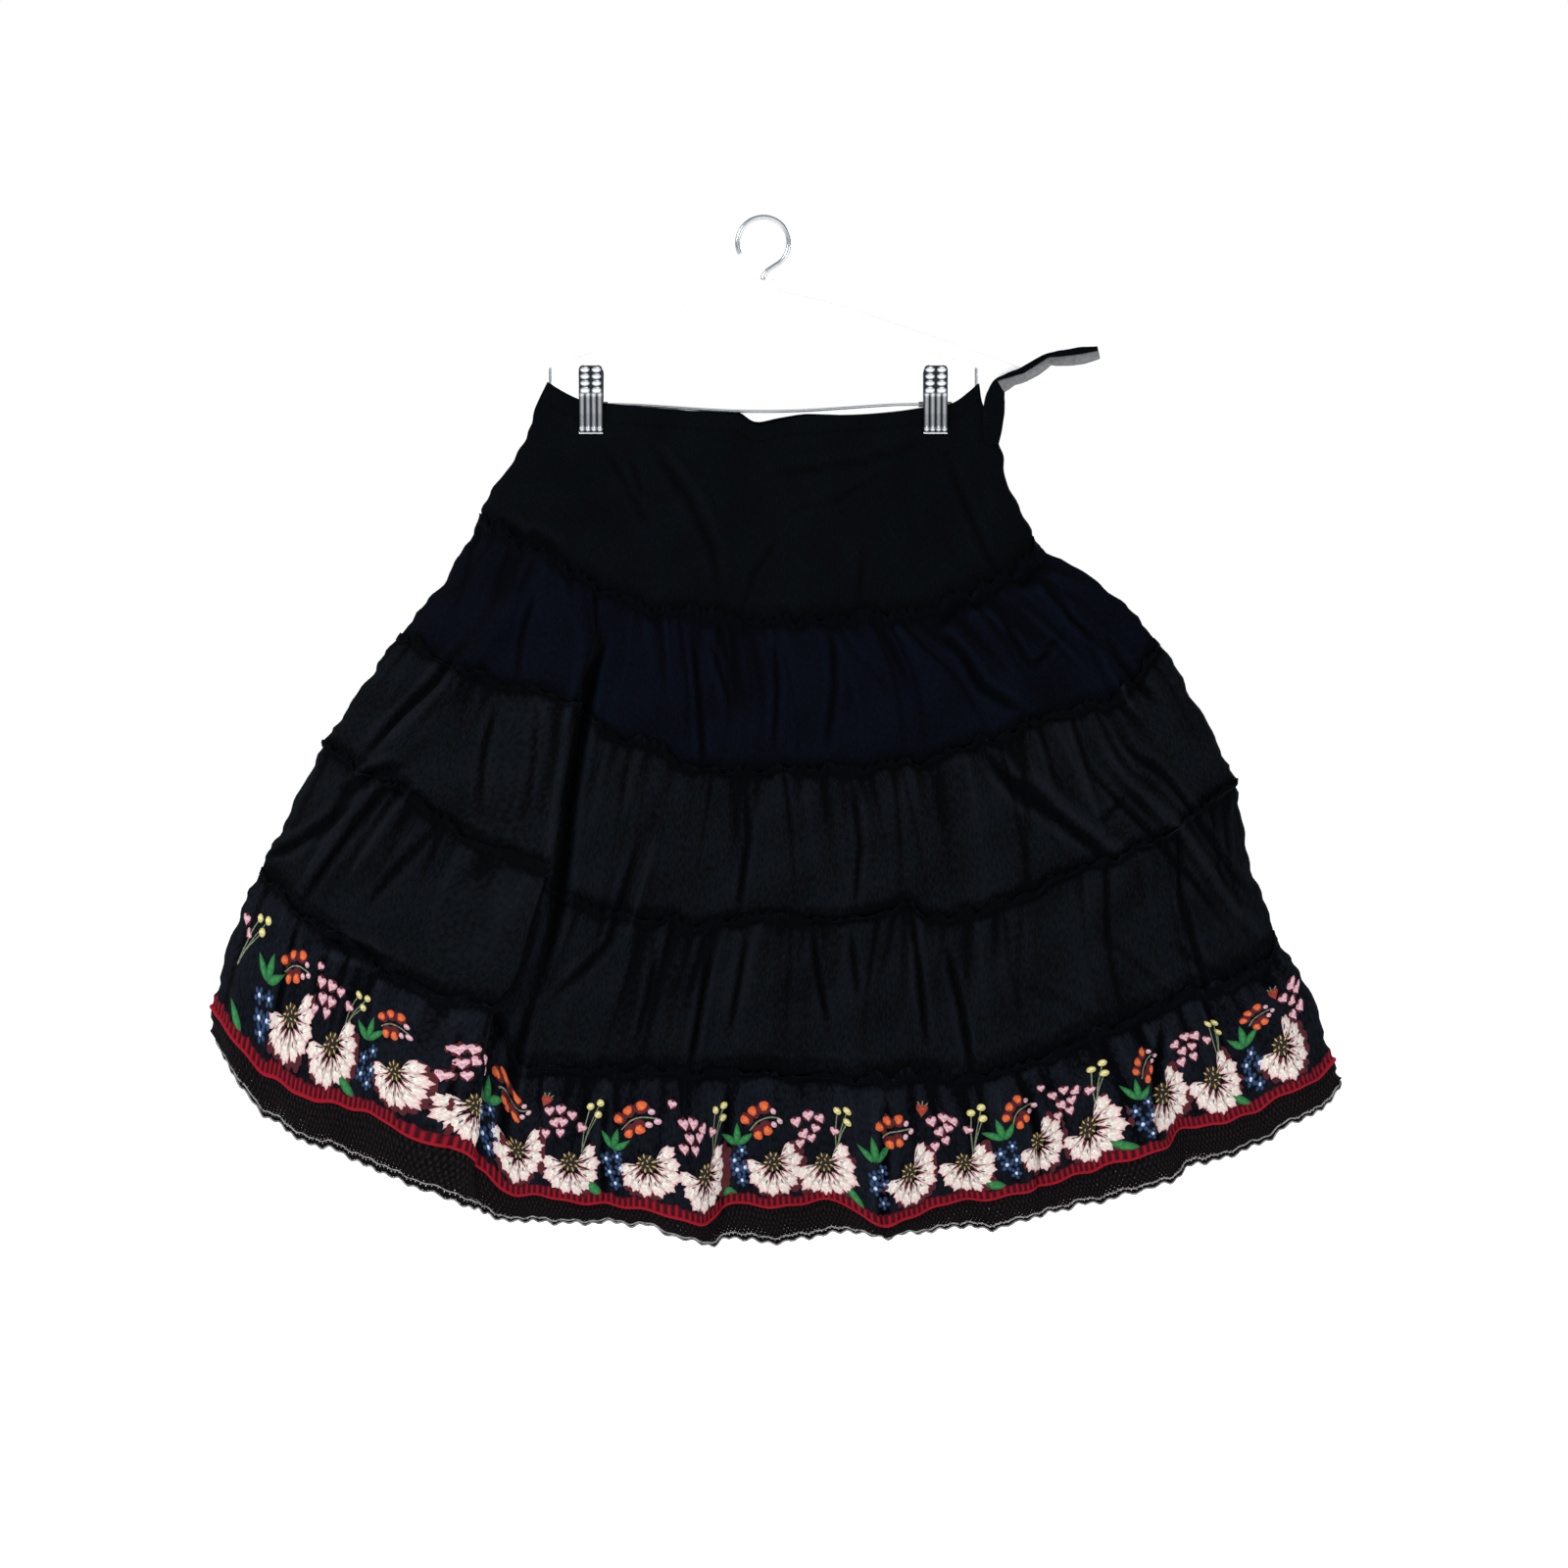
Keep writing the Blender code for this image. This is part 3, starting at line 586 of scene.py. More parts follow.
SEAM_LIFTS = (
    ((554, 0), (572, -3), (590, -5), (615, -1), (640, 2), (665, 4), (690, 6), (757, 7), (764, -2), (776, -2),
     (790, 1), (821, 5.5), (852, 5), (899, 2), (943, -1), (960, -4), (977, -7), (990, -3), (1001, 0)),
    ((482, 0), (560, -4), (612, -8), (662, -11), (700, -5), (800, 0), (894, 0), (944, -5), (975, -1),
     (1019, -7), (1064, -9)),
    ((500, 0), (545, 3), (594, 3), (625, -5), (662, -3), (700, -11), (737, -7), (800, 1), (881, -5), (894, 5),
     (937, -2), (969, 6), (1037, 4), (1075, 5), (1106, -6), (1137, -16), (1162, -16), (1189, -2)),
    ((350, 0), (400, 4), (450, -2), (500, -12), (548, -13), (575, -16), (606, -22), (637, -17), (687, -10),
     (700, -17), (731, -5), (800, 1), (862, 0), (906, 6), (931, 9), (944, -5), (1006, -7), (1037, -3),
     (1112, 7), (1137, 0)),
    ((256, 0), (406, 5), (450, 4), (512, 14), (524, -22), (575, -12), (637, -6), (694, 0), (800, 0), (850, -5),
     (887, -6), (950, -11), (1006, -15), (1075, -11), (1137, -2), (1187, -7), (1225, -6), (1262, -15),
     (1318, -17)),
    ((208, 0), (262, -13), (300, -11), (350, 6), (387, 9), (425, 9), (496, 4), (506, -9), (575, -5), (637, -3),
     (687, -7), (731, -9), (744, 4), (794, 1), (825, 6), (856, 3), (894, -9), (906, -14), (937, -8), (981, -4),
     (1044, -4), (1106, -2), (1150, -2), (1175, 4), (1200, 7), (1250, -3), (1362, -4)),
)
EASE, EASE_REACH = 8.0, 24
WANDER, WANDER_WAVES = 1.3, (13, 21, 34)
LIFT_FADE = 0.02
LAST_LEVEL = 5.999


def eased(at, row):
    """Heights between a table's points, without corners."""
    every = np.arange(PICTURE)
    soft = np.exp(-((np.arange(-EASE_REACH, EASE_REACH + 1) / EASE) ** 2))
    heights = np.interp(every, *zip(*row))
    heights = np.convolve(np.pad(heights, EASE_REACH, mode="edge"), soft / soft.sum(), mode="valid")
    return np.interp(at, seen(every, 0)[0], heights)


def seam_lift(side, level_grid, shares, x):
    """How far folds and gathering carry each seam up or down, read from the picture, in millimetres."""
    lifts = []
    for number, row in enumerate(SEAM_LIFTS):
        at = x if side == FRONT or number == 0 else BACK_SHIFT - x
        draw = np.random.default_rng(300 + number * 10 + (side > 0))
        lift = eased(at, row)
        for waves, phase in zip(WANDER_WAVES, draw.uniform(0, math.tau, len(WANDER_WAVES))):
            size = WANDER * (number > 0) / math.sqrt(waves / WANDER_WAVES[0])
            lift = lift + size * np.sin(shares * waves * math.tau + phase)
        lifts.append(lift)
    lifts = np.stack(lifts + [lifts[-1]])
    level = np.clip(level_grid, 0, LAST_LEVEL)
    low = level.astype(int)
    rows, columns = np.indices(level.shape)
    t = level - low
    mixed = lifts[low, rows, columns] * (1 - t) + lifts[low + 1, rows, columns] * t
    return mixed * smooth_step(np.minimum(shares, 1 - shares) / LIFT_FADE)


print("creases:", len(CREASES), "seam tables:", len(SEAM_LIFTS))

# %% [markdown]
# ## The cloth's outer face
# A row of points is worked out for each level: first the draped line, then the creases and gathers, squarely
# off the cloth. The top of each gathered strip stands up as a small raw frill in front of the seam. The side
# edges are rough, because every gather pulls at them. The tone says how raised or hollow the cloth is, and the
# finish paints light on the raised cloth and shade into the hollows, along the seams and over the frills.

# %% The cloth's outer face
FRILL_RISE, FRILL_LIFT = 6.0, 2.2
FRILL_ROWS = (1.0, 0.8, 0.6, 0.4, 0.2)
EDGE_REACH, EDGE_FROM = 0.02, 0.6
HANG_OF_LEVEL = 110
STILL_ENDS = 0.012
CASING, CASING_STITCH, CASING_DIP, CASING_PUCKER = 13.0, 1.3, 0.55, 0.5
# Widths in millimetres of the painted shade along each seam and over the frill above it, and how much relief
# and shade weigh in the painted tone.
SEAM_SHADE, SHADE_ABOVE = 5, 12
TONE_OF_RELIEF, TONE_OF_SHADE = 1.3, 1.2
SOFT_WAVE, FRILL_FOOT, FRILL_TURN = 0.35, 0.9, 2.5
Wave = namedtuple("Wave", "height length phase shift shift_length")
RUFFLE = (Wave(1.1, 1.35, 0, 2.4, 19), Wave(1.6, 3.7, 1.3, 0, 1))
RAGGED = (Wave(1.7, 2.3, 0, 3, 11), Wave(2.2, 7.3, 0, 4, 31))
ROUGH_FINE, ROUGH_BROAD, ROUGH_FADE = Wave(1.3, 2.7, 0, 2, 17), Wave(1.3, 7.3, 1, 0, 1), 23


def unit(vectors):
    return vectors / np.linalg.norm(vectors, axis=-1, keepdims=True)


def ride_wave(at, wave):
    """A wave along the cloth, in millimetres, whose spacing drifts to and fro."""
    return wave.height * np.sin(at / wave.length + wave.phase + wave.shift * np.sin(at / wave.shift_length))


def plan_outward(side, points, shares):
    """The level direction out of the skirt at each point."""
    run = np.gradient(points, axis=1)
    run[..., 2] = 0
    run = unit(run) * np.sign(shares[-1] - shares[0])
    return side * np.stack([-run[..., 1], run[..., 0], run[..., 2]], axis=-1)


def rough_edges(level_grid, share_grid):
    """How far the two side edges wander sideways, in millimetres."""
    fallen = level_grid * HANG_OF_LEVEL
    rough = ride_wave(fallen, ROUGH_FINE) * np.sin(fallen / ROUGH_FADE) + ride_wave(fallen, ROUGH_BROAD)
    at_edges = np.exp(-(1 - share_grid) / EDGE_REACH) - np.exp(-share_grid / EDGE_REACH)
    return rough * smooth_step(level_grid / EDGE_FROM) * at_edges


def raw_frill(up, along, seam):
    """How far a frill stands out, and how much its top is raised, at a height above its seam."""
    rise = up / FRILL_RISE
    ruffle, ragged = (sum(ride_wave(along, wave) for wave in waves) for waves in (RUFFLE, RAGGED))
    swell = 0.25 - 0.3 * np.sin(along / 37 + seam) - 0.2 * np.sin(along / 13)
    return FRILL_LIFT * smooth_step(up / FRILL_TURN) + ruffle * rise, ragged * rise - swell * up


def surface(side, levels, shares, frill_at=None):
    """The cloth's outer face: its points, tone and place along the line, and the lowest line's length."""
    lines = [draped_line(level, side, shares) for level in levels]
    points, length = np.stack([line[0] for line in lines]), lines[-1][1]
    outward = plan_outward(side, points, shares)
    level_grid = np.asarray(levels)[:, None] + 0 * shares[None, :]
    share_grid = shares[None, :] + 0 * level_grid
    along = share_grid * length
    ends = smooth_step(np.minimum(shares, 1 - shares) / STILL_ENDS)[None, :]
    relief = crease_relief(side, points[..., 0], points[..., 2]) * ends
    shade = np.zeros(relief.shape)
    for seam in range(1, HEM_SEAM + 1):
        below = (level_grid >= seam) & ((level_grid < seam + 1) | (seam == HEM_SEAM))
        down = (level_grid - seam) * LEVEL_HEIGHTS[seam]
        relief += np.where(below, small_gathers(side, seam, share_grid, np.maximum(down, 0)), 0) * ends
        # Painted shade along each seam and over the frill above it.
        shade += np.exp(-((down / SEAM_SHADE) ** 2)) + (down < 0) * (down > -SHADE_ABOVE)
    points[..., 2] += seam_lift(side, level_grid, share_grid, points[..., 0])
    points[..., 0] += rough_edges(level_grid, share_grid)
    stitched = (level_grid * LEVEL_HEIGHTS[0] - CASING) / CASING_STITCH
    relief -= CASING_DIP * np.exp(-(stitched**2)) * (1 + CASING_PUCKER * np.sin(along / 2.1))
    relief += SOFT_WAVE * np.sin(along / 17 + level_grid * 9) * np.sin(points[..., 2] / 23 + side) * ends
    tone = relief * TONE_OF_RELIEF - shade * TONE_OF_SHADE
    if frill_at is not None:
        up = np.maximum(frill_at - level_grid, 0) * LEVEL_HEIGHTS[frill_at]
        stand, raised = raw_frill(up, along, frill_at)
        relief += np.where(level_grid <= frill_at + 1e-6, FRILL_FOOT + stand * ends, 0)
        points[..., 2] += raised * ends
    return points + outward * (WALL / 2 + relief)[..., None], tone, along, length


print("frill", FRILL_RISE, "mm high, casing", CASING, "mm")

# %% [markdown]
# ## Grids and modifiers
# Each piece of cloth is a grid primitive whose vertices are laid on such rows, and it keeps a map of its flat
# cloth for the weave. A few short helpers do what every piece needs: select it alone, apply a modifier, merge
# doubles, write a number on its vertices, and hand it over in place of its solid.


# %% Lay a grid and finish a piece
def lay_grid(name, points, finish, flat=None):
    """A grid primitive whose vertices are laid on an array of points, row by row from the top."""
    rows, columns = points.shape[0] - 1, points.shape[1] - 1
    bpy.ops.object.select_all(action="DESELECT")
    bpy.ops.mesh.primitive_grid_add(x_subdivisions=columns, y_subdivisions=rows, size=2)
    piece = bpy.context.active_object
    piece.name = name
    corners = np.zeros(len(piece.data.vertices) * 3, np.float32)
    piece.data.vertices.foreach_get("co", corners)
    corners = corners.reshape(-1, 3)
    column = np.rint((corners[:, 0] / 2 + 0.5) * columns).astype(int)
    row = np.rint((0.5 - corners[:, 1] / 2) * rows).astype(int)
    piece.data.vertices.foreach_set("co", metres(points[row, column]).astype(np.float32).ravel())
    if flat is not None:
        map_flat(piece.data, flat[row, column])
    piece.data.materials.append(finish)
    piece.data.update()
    return piece, row, column


def map_flat(mesh, flat):
    """Writes the flat place of each vertex, in centimetres, into the piece's own map."""
    loops = np.zeros(len(mesh.loops), np.int32)
    mesh.loops.foreach_get("vertex_index", loops)
    layer = mesh.uv_layers[0] if len(mesh.uv_layers) else mesh.uv_layers.new()
    layer.name = "flat_cm"
    mesh.uv_layers["flat_cm"].data.foreach_set("uv", flat[loops].astype(np.float32).ravel())


def draw_on(piece, name, values):
    """Gives each vertex of a piece a number that its finish can read."""
    field = piece.data.attributes.new(name, "FLOAT", "POINT")
    field.data.foreach_set("value", values.astype(np.float32).ravel())


def select_only(piece):
    bpy.ops.object.select_all(action="DESELECT")
    piece.select_set(True)
    bpy.context.view_layer.objects.active = piece


def apply_modifier(piece, kind, **settings):
    select_only(piece)
    modifier = piece.modifiers.new(kind.lower(), kind)
    for key, value in settings.items():
        setattr(modifier, key, value)
    bpy.ops.object.modifier_apply(modifier=modifier.name)


def merge_doubles(piece, recalculate=False):
    select_only(piece)
    bpy.ops.object.mode_set(mode="EDIT")
    bpy.ops.mesh.select_all(action="SELECT")
    bpy.ops.mesh.remove_doubles(threshold=0.01 * MM)
    if recalculate:
        bpy.ops.mesh.normals_make_consistent(inside=False)
    bpy.ops.object.mode_set(mode="OBJECT")


def hand_over(piece, slot=None, node=None, smooth_to=None):
    """Shades a finished piece, ties it to the one body and puts it in place of its solid. The slot is not used.
    """
    if smooth_to is None:
        bpy.ops.object.shade_smooth()
    else:
        bpy.ops.object.shade_smooth_by_angle(angle=math.radians(smooth_to))
    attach(piece, "root")
    if node is not None:
        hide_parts(node)
    return piece


print("helpers:", [helper.__name__ for helper in (lay_grid, apply_modifier, merge_doubles, hand_over)])

# %% [markdown]
# ## Panels
# A panel runs from side seam to side seam. Its rows are close together where the frill and the seam bend the
# cloth most. A Solidify modifier gives the cloth its thickness, inwards, so that the outer face stays where it
# was laid.

# %% Rows and panels
CLOTH_THICKNESS = 0.9
TONE_SPAN = 4
SEAM_ROWS = (0.0, 1.3, 2.8, 4.8, 7.4)
CASING_END, CASING_ROWS = CASING + 3, 15
ROW_PITCH, HEM_ROW_PITCH = 4.4, 3.6
COLUMNS, YOKE_COLUMNS = 520, 240
Panel = namedtuple("Panel", "piece levels points normals length")


def level_down(level):
    """Millimetres of flat cloth from the waist down to a level."""
    whole = int(min(level, 5))
    return sum(LEVEL_HEIGHTS[:whole]) + (level - whole) * LEVEL_HEIGHTS[whole]


def tier_rows(seam, pitch):
    """The levels of a gathered strip: its frill, close rows under the seam, then even ones."""
    height = LEVEL_HEIGHTS[seam]
    rows = [seam - FRILL_RISE * share / height for share in FRILL_ROWS]
    rows += [seam + down / height for down in SEAM_ROWS]
    even = np.linspace(SEAM_ROWS[-1], height, int((height - SEAM_ROWS[-1]) / pitch) + 1)[1:]
    return rows + [seam + down / height for down in even]


def yoke_rows():
    """The levels of the yoke, which are close together over the casing."""
    height = LEVEL_HEIGHTS[0]
    close = np.linspace(0, CASING_END, CASING_ROWS)
    even = np.linspace(CASING_END, height, int((height - CASING) / ROW_PITCH) + 1)[1:]
    return [down / height for down in (*close, *even)]


def across_shares(side, columns):
    """Even shares of a line, from the left seam in front and from the right one behind."""
    shares = np.linspace(0, 1, columns + 1)
    return shares if side == FRONT else shares[::-1]


def lay_panel(node, side, levels, columns, finish, slot, frill_at=None):
    """One panel in place of its solid, from side seam to side seam."""
    points, tone, along, length = surface(side, levels, across_shares(side, columns), frill_at)
    down = np.array([level_down(level) for level in levels])
    flat = np.stack([along / 10, -down[:, None] / 10 + 0 * along], axis=-1)
    kind, _, word = node.rpartition("_")
    piece, row, column = lay_grid(f"{kind}_cloth_{word}", points, finish, flat)
    # The tone goes to the gauze's finish as painted light on raised cloth and painted shade in hollows and
    # seams.
    draw_on(piece, "ridge", np.clip(tone[row, column] / TONE_SPAN + 0.5, 0, 1))
    apply_modifier(piece, "SOLIDIFY", thickness=CLOTH_THICKNESS * MM, offset=-1)
    hand_over(piece, slot, node)
    normals = unit(np.cross(np.gradient(points, axis=1), np.gradient(points, axis=0)))
    normals *= np.sign(normals[..., 1].mean()) * side
    return Panel(piece, np.array(levels), points, normals, length)


print("rows:", len(yoke_rows()), [len(tier_rows(seam, ROW_PITCH)) for seam in (1, 2, 3)])

# %% [markdown]
# There are five panels on each side. The yoke has fewer columns, because it is smooth, and the hem flounce has
# closer rows, because the embroidery lies on it.

# %% Lay the panels
SIDES = ((FRONT, "front"), (BACK, "back"))
panels = {}
for side, word in SIDES:
    panels["yoke", side] = lay_panel(
        f"yoke_{word}", side, yoke_rows(), YOKE_COLUMNS, yoke_gauze, "black_cotton"
    )
    for seam in (1, 2, 3):
        dyed, slot = (blue_gauze, "blue_black_cotton") if seam == 1 else (black_gauze, "black_cotton")
        rows = tier_rows(seam, ROW_PITCH)
        panels[seam, side] = lay_panel(f"tier_{seam}_{word}", side, rows, COLUMNS, dyed, slot, seam)
    rows = tier_rows(HEM_SEAM, HEM_ROW_PITCH)
    panels["hem", side] = lay_panel(
        f"hem_flounce_{word}", side, rows, COLUMNS, flounce_gauze, "blue_black_cotton", HEM_SEAM
    )
for key, panel in panels.items():
    print(key, len(panel.piece.data.polygons), "faces, line", round(panel.length), "mm")

# %% [markdown]
# ## Stitching on the flounce
# The embroidery is thick: satin stitch stands a millimetre off the cloth. Each shape, such as a petal or a
# leaf, is modelled once as a small flat dome, in millimetres. Copies are turned, sized and placed along the
# flounce in flat cloth, and then each of their points is carried to the draped face, so that the flowers
# bend with the folds as real stitching does.

# %% Flat shapes of satin stitch
PETAL_TEETH = 16
FAN_OPEN, FAN_TEETH = 62.0, 13
Shape = namedtuple("Shape", "points faces tip")


def shape_from_grid(columns, rows, place):
    """A flat stitched shape, from a grid primitive laid by place(turn, out)."""
    bpy.ops.object.select_all(action="DESELECT")
    bpy.ops.mesh.primitive_grid_add(x_subdivisions=columns, y_subdivisions=rows, size=2)
    model = bpy.context.active_object
    flat = np.array([vertex.co[:2] for vertex in model.data.vertices]) / 2 + 0.5
    faces = [tuple(face.vertices) for face in model.data.polygons]
    bpy.ops.object.delete()
    return Shape(place(flat[:, 0], flat[:, 1]), faces, flat[:, 1])


def dome(out):
    """Height of satin stitch from the middle (0) to the edge (1), which tucks under the cloth's face."""
    return np.interp(out, (0, 0.45, 0.8, 1.0), (1.0, 0.92, 0.62, -0.45))


def filled(outline, columns=12, height=0.9):
    """A dome over an outline given as a function from a turn (0 to 1) to a point."""

    def place(turn, out):
        x, y = outline(turn)
        spread = np.interp(out, (0, 1), (0.02, 1.0))
        return np.stack([x * spread, y * spread, height * dome(out)], axis=1)

    return shape_from_grid(columns, 3, place)


def round_outline(turn):
    return np.cos(turn * math.tau), np.sin(turn * math.tau)


def heart_outline(turn):
    a = turn * math.tau
    x = np.sin(a) ** 3
    y = (13 * np.cos(a) - 5 * np.cos(2 * a) - 2 * np.cos(3 * a) - np.cos(4 * a)) / 15
    return -x, y


def leaf_outline(turn):
    there = np.where(turn < 0.5, turn * 2, 2 - turn * 2)
    width = np.sin(math.pi * there**0.8) * 0.34
    return np.where(turn < 0.5, width, -width), there * 2 - 1


def lobe_outline(turn):
    """A petal that is narrow at its foot and has a blunt, two-lobed end."""
    a = turn * math.tau
    off = a - math.pi / 2
    reach = 0.62 + 0.38 * np.cos(off) + 0.10 * np.cos(2 * off) - 0.06 * np.cos(4 * a)
    return reach * np.cos(a), reach * np.sin(a)


def petal_outline(turn):
    """A petal with a narrow foot and a toothed end."""
    a = turn * math.tau
    teeth = 0.07 * np.cos(turn * PETAL_TEETH * math.pi) * (np.cos(a) > 0.3)
    return -np.sin(a) * (0.60 + 0.44 * np.cos(a)), np.cos(a) * (1 + teeth) + teeth


def fan_place(turn, out):
    """The ragged patch of darker stitches under a half flower."""
    angle = np.radians(90 + FAN_OPEN + turn * (360 - 2 * FAN_OPEN))
    radius = 0.3 + out * (0.74 + 0.1 * np.abs(np.sin(turn * FAN_TEETH * math.pi)))
    rise = 0.25 * np.interp(out, (0, 0.15, 0.8, 1), (0.1, 0.8, 1, -0.8))
    return np.stack([radius * np.cos(angle), radius * np.sin(angle), rise], axis=1)


SHAPES = {
    "round": filled(round_outline),
    "heart": filled(heart_outline, 14),
    "leaf": filled(leaf_outline, 14, 0.7),
    "lobe": filled(lobe_outline, 14),
    "petal": filled(petal_outline, PETAL_TEETH, 0.8),
    "fan_back": shape_from_grid(39, 2, fan_place),
}
print("stitched shapes:", {name: len(shape.faces) for name, shape in SHAPES.items()})

# %% [markdown]
# The sewing box keeps what has been stitched: points in flat millimetres along and up from the red edge,
# their height off the cloth, the faces, and the colour of each.

# %% The sewing box
# Each thread: its middle colour, a darker edge colour that is painted shade on the rounded stitch (on cream
# also its pink blush), and how near the edge the colour turns.
THREAD_COLOURS = {
    "cream": ((0.82, 0.76, 0.69), (0.66, 0.36, 0.38), 3.2),
    "pink": ((0.80, 0.50, 0.56), (0.68, 0.34, 0.42), 2.0),
    "orange": ((0.80, 0.16, 0.035), (0.60, 0.07, 0.02), 2.0),
    "green": ((0.025, 0.25, 0.06), (0.008, 0.09, 0.025), 1.5),
    "blue": ((0.020, 0.062, 0.17), (0.006, 0.022, 0.07), 1.5),
    "pale blue": ((0.72, 0.82, 0.95), (0.30, 0.42, 0.66), 2.0),
    "yellow": ((0.85, 0.78, 0.36), (0.50, 0.40, 0.10), 2.5),
    "gold": ((0.66, 0.50, 0.20), (0.30, 0.20, 0.05), 2.0),
    "dark": ((0.012, 0.008, 0.006), (0.02, 0.012, 0.008), 1.0),
    "burgundy": ((0.120, 0.004, 0.012), (0.060, 0.002, 0.007), 1.0),
    "red": ((0.42, 0.05, 0.03), (0.22, 0.02, 0.015), 1.5),
    "stem": ((0.20, 0.24, 0.15), (0.12, 0.16, 0.09), 1.0),
}
THREADS = tuple(THREAD_COLOURS)
STEM_STEPS = 9
STEM_SECTION = ((-0.5, -0.4), (0, 0.55), (0.5, -0.4))


def around(at, degrees, reach, upright=None):
    """A point so many millimetres from another in a direction, or on an upright oval round it."""
    a = math.radians(degrees)
    return at[0] + math.cos(a) * reach, at[1] + math.sin(a) * (reach if upright is None else upright)


class SewingBox:
    """What is stitched on one side of the flounce, in flat cloth."""

    def __init__(self):
        self.points, self.faces, self.colours, self.tips, self.flat = [], [], [], [], []
        self.count = 0

    def keep(self, points, faces, colour, tips, flat):
        self.points.append(points)
        self.faces += [tuple(i + self.count for i in face) for face in faces]
        self.colours += [THREADS.index(colour)] * len(faces)
        self.tips.append(tips)
        self.flat.append(flat)
        self.count += len(points)

    def sew(self, shape, colour, at, turn, size, lift, thick=1.0):
        """A copy of a shape, turned by degrees and sized in millimetres by one number or two."""
        model = SHAPES[shape]
        spread = model.points[:, :2] * size
        c, s = math.cos(math.radians(turn)), math.sin(math.radians(turn))
        x = at[0] + spread[:, 0] * c - spread[:, 1] * s
        y = at[1] + spread[:, 0] * s + spread[:, 1] * c
        rise = lift + model.points[:, 2] * thick
        self.keep(np.stack([x, y, rise], axis=1), model.faces, colour, model.tip, spread / 10)

    def stem(self, path, width, lift=0.3):
        """A line of outline stitch along a few points."""
        path = np.array(path, float)
        at = np.linspace(0, len(path) - 1, STEM_STEPS)
        line = np.stack([np.interp(at, range(len(path)), path[:, k]) for k in (0, 1)], axis=1)
        line[1:-1] = (line[:-2] + line[1:-1] * 2 + line[2:]) / 4
        run = unit(np.gradient(line, axis=0))
        beside = np.stack([-run[:, 1], run[:, 0]], axis=1)
        rows = [np.column_stack([line + beside * width * off, np.full(STEM_STEPS, lift + rise)])
                for off, rise in STEM_SECTION]
        starts = [row * STEM_STEPS + i for row in (0, 1) for i in range(STEM_STEPS - 1)]
        faces = [(a + STEM_STEPS, a + STEM_STEPS + 1, a + 1, a) for a in starts]
        stacked = np.concatenate(rows)
        self.keep(stacked, faces, "stem", np.zeros(len(stacked)), stacked[:, :2] / 10)


print("thread colours:", ", ".join(THREADS))

# %% [markdown]
# ## Flowers
# The band repeats a folk posy: two cream half flowers with gold-ringed dark centres, an orange sprig on a
# bent stem, pink hearts, small blue flowers, green leaves and yellow knots on long stems. Now and then there is
# a strawberry. Each function sews one of them round a point, in shares of its size.


# %% The posy's parts
PETALS = 9
PETAL_WIDTH, PETAL_LENGTH, PETAL_AT = 0.275, 0.38, 0.64
SPLITS = (0.42, 0.60)
GoldRing = namedtuple("GoldRing", "count first across upright stitch lean lift")
GOLD_RINGS = (
    GoldRing(9, 0, 0.25, 0.22, (1.7, 0.6), 0, 1.05),
    GoldRing(3, 40, 0.10, 0.09, (1.3, 0.5), 50, 1.25),
)
SPRIG_LOBES = ((-11, 3, 70, 5.2), (-5, 7.5, 25, 5.4), (3, 9, -10, 5.6), (-5, -6, 150, 5.0), (1, -4, 195, 5.2))
SPRIG_STEM = ((-11, -5), (-5, 0.5), (3, 2), (12, 1))
SPRIG_BUDS = ((9, 5.5), (7, -3.5), (12, -1.0))
KNOTS = ((-4, 3), (3.5, 5.5), (2, -3.5))
KNOT, BUD = 3.0, 2.3


def half_flower(box, at, turn, size):
    """A fan of toothed cream petals round a dark centre with a ring of gold stitches."""
    box.sew("fan_back", "burgundy", around(at, turn - 70, size * 0.05), turn, size * 1.05, 0.10, 0.8)
    for k in range(PETALS):
        a = 90 + turn + FAN_OPEN + (k + 0.5) * (360 - 2 * FAN_OPEN) / PETALS
        petal = (size * PETAL_WIDTH, size * PETAL_LENGTH * (1 + 0.09 * math.sin(k * 2.4 + turn)))
        lean = a - 90 + 6 * math.sin(k * 1.7)
        box.sew("petal", "cream", around(at, a, size * PETAL_AT), lean, petal, 0.35 + 0.25 * (k % 2))
        # Dark marks where the petals part: painted shade between the petals.
        for share in SPLITS:
            split = a + 9 * math.sin(k * 5 + share * 9)
            box.sew("round", "dark", around(at, split, size * share), split, (size * 0.10, 0.38), 1.1, 0.5)
    heart = around(at, turn + 90, size * 0.06)
    box.sew("round", "dark", heart, turn, (size * 0.30, size * 0.27), 0.6, 0.9)
    for ring in GOLD_RINGS:
        for k in range(ring.count):
            a = turn + ring.first + k * 360 / ring.count
            place = around(heart, a, size * ring.across, size * ring.upright)
            box.sew("round", "gold", place, a + ring.lean, ring.stitch, ring.lift, 0.7)


def pink_heart(box, at, turn, size):
    box.sew("round", "burgundy", at, turn, size * 1.25, -0.15, 0.5)
    box.sew("heart", "pink", at, turn, size, 0.2)


def orange_sprig(box, at, turn, size):
    """Five blunt lobes above and below a bent stem that ends in pink buds."""
    c, s = math.cos(math.radians(turn)), math.sin(math.radians(turn))

    def local(x, y):
        return at[0] + (x * c - y * s) * size, at[1] + (x * s + y * c) * size

    for x, y, lean, reach in SPRIG_LOBES:
        box.sew("round", "burgundy", local(x, y), turn, reach * 1.15 * size, -0.2, 0.5)
        box.sew("lobe", "orange", local(x, y - 1), turn + lean, reach * size, 0.2)
    box.stem([local(x, y) for x, y in SPRIG_STEM], 1.3)
    for x, y in SPRIG_BUDS:
        box.sew("round", "pink", local(x, y), turn, BUD * size, 0.2)


def leaf_trio(box, at, turn, size):
    for lean, share in ((-48, 0.92), (0, 1.0), (48, 0.92)):
        reach = size * share
        box.sew("leaf", "green", around(at, 90 + turn + lean, reach), turn + lean, (reach * 0.95, reach), 0.2)


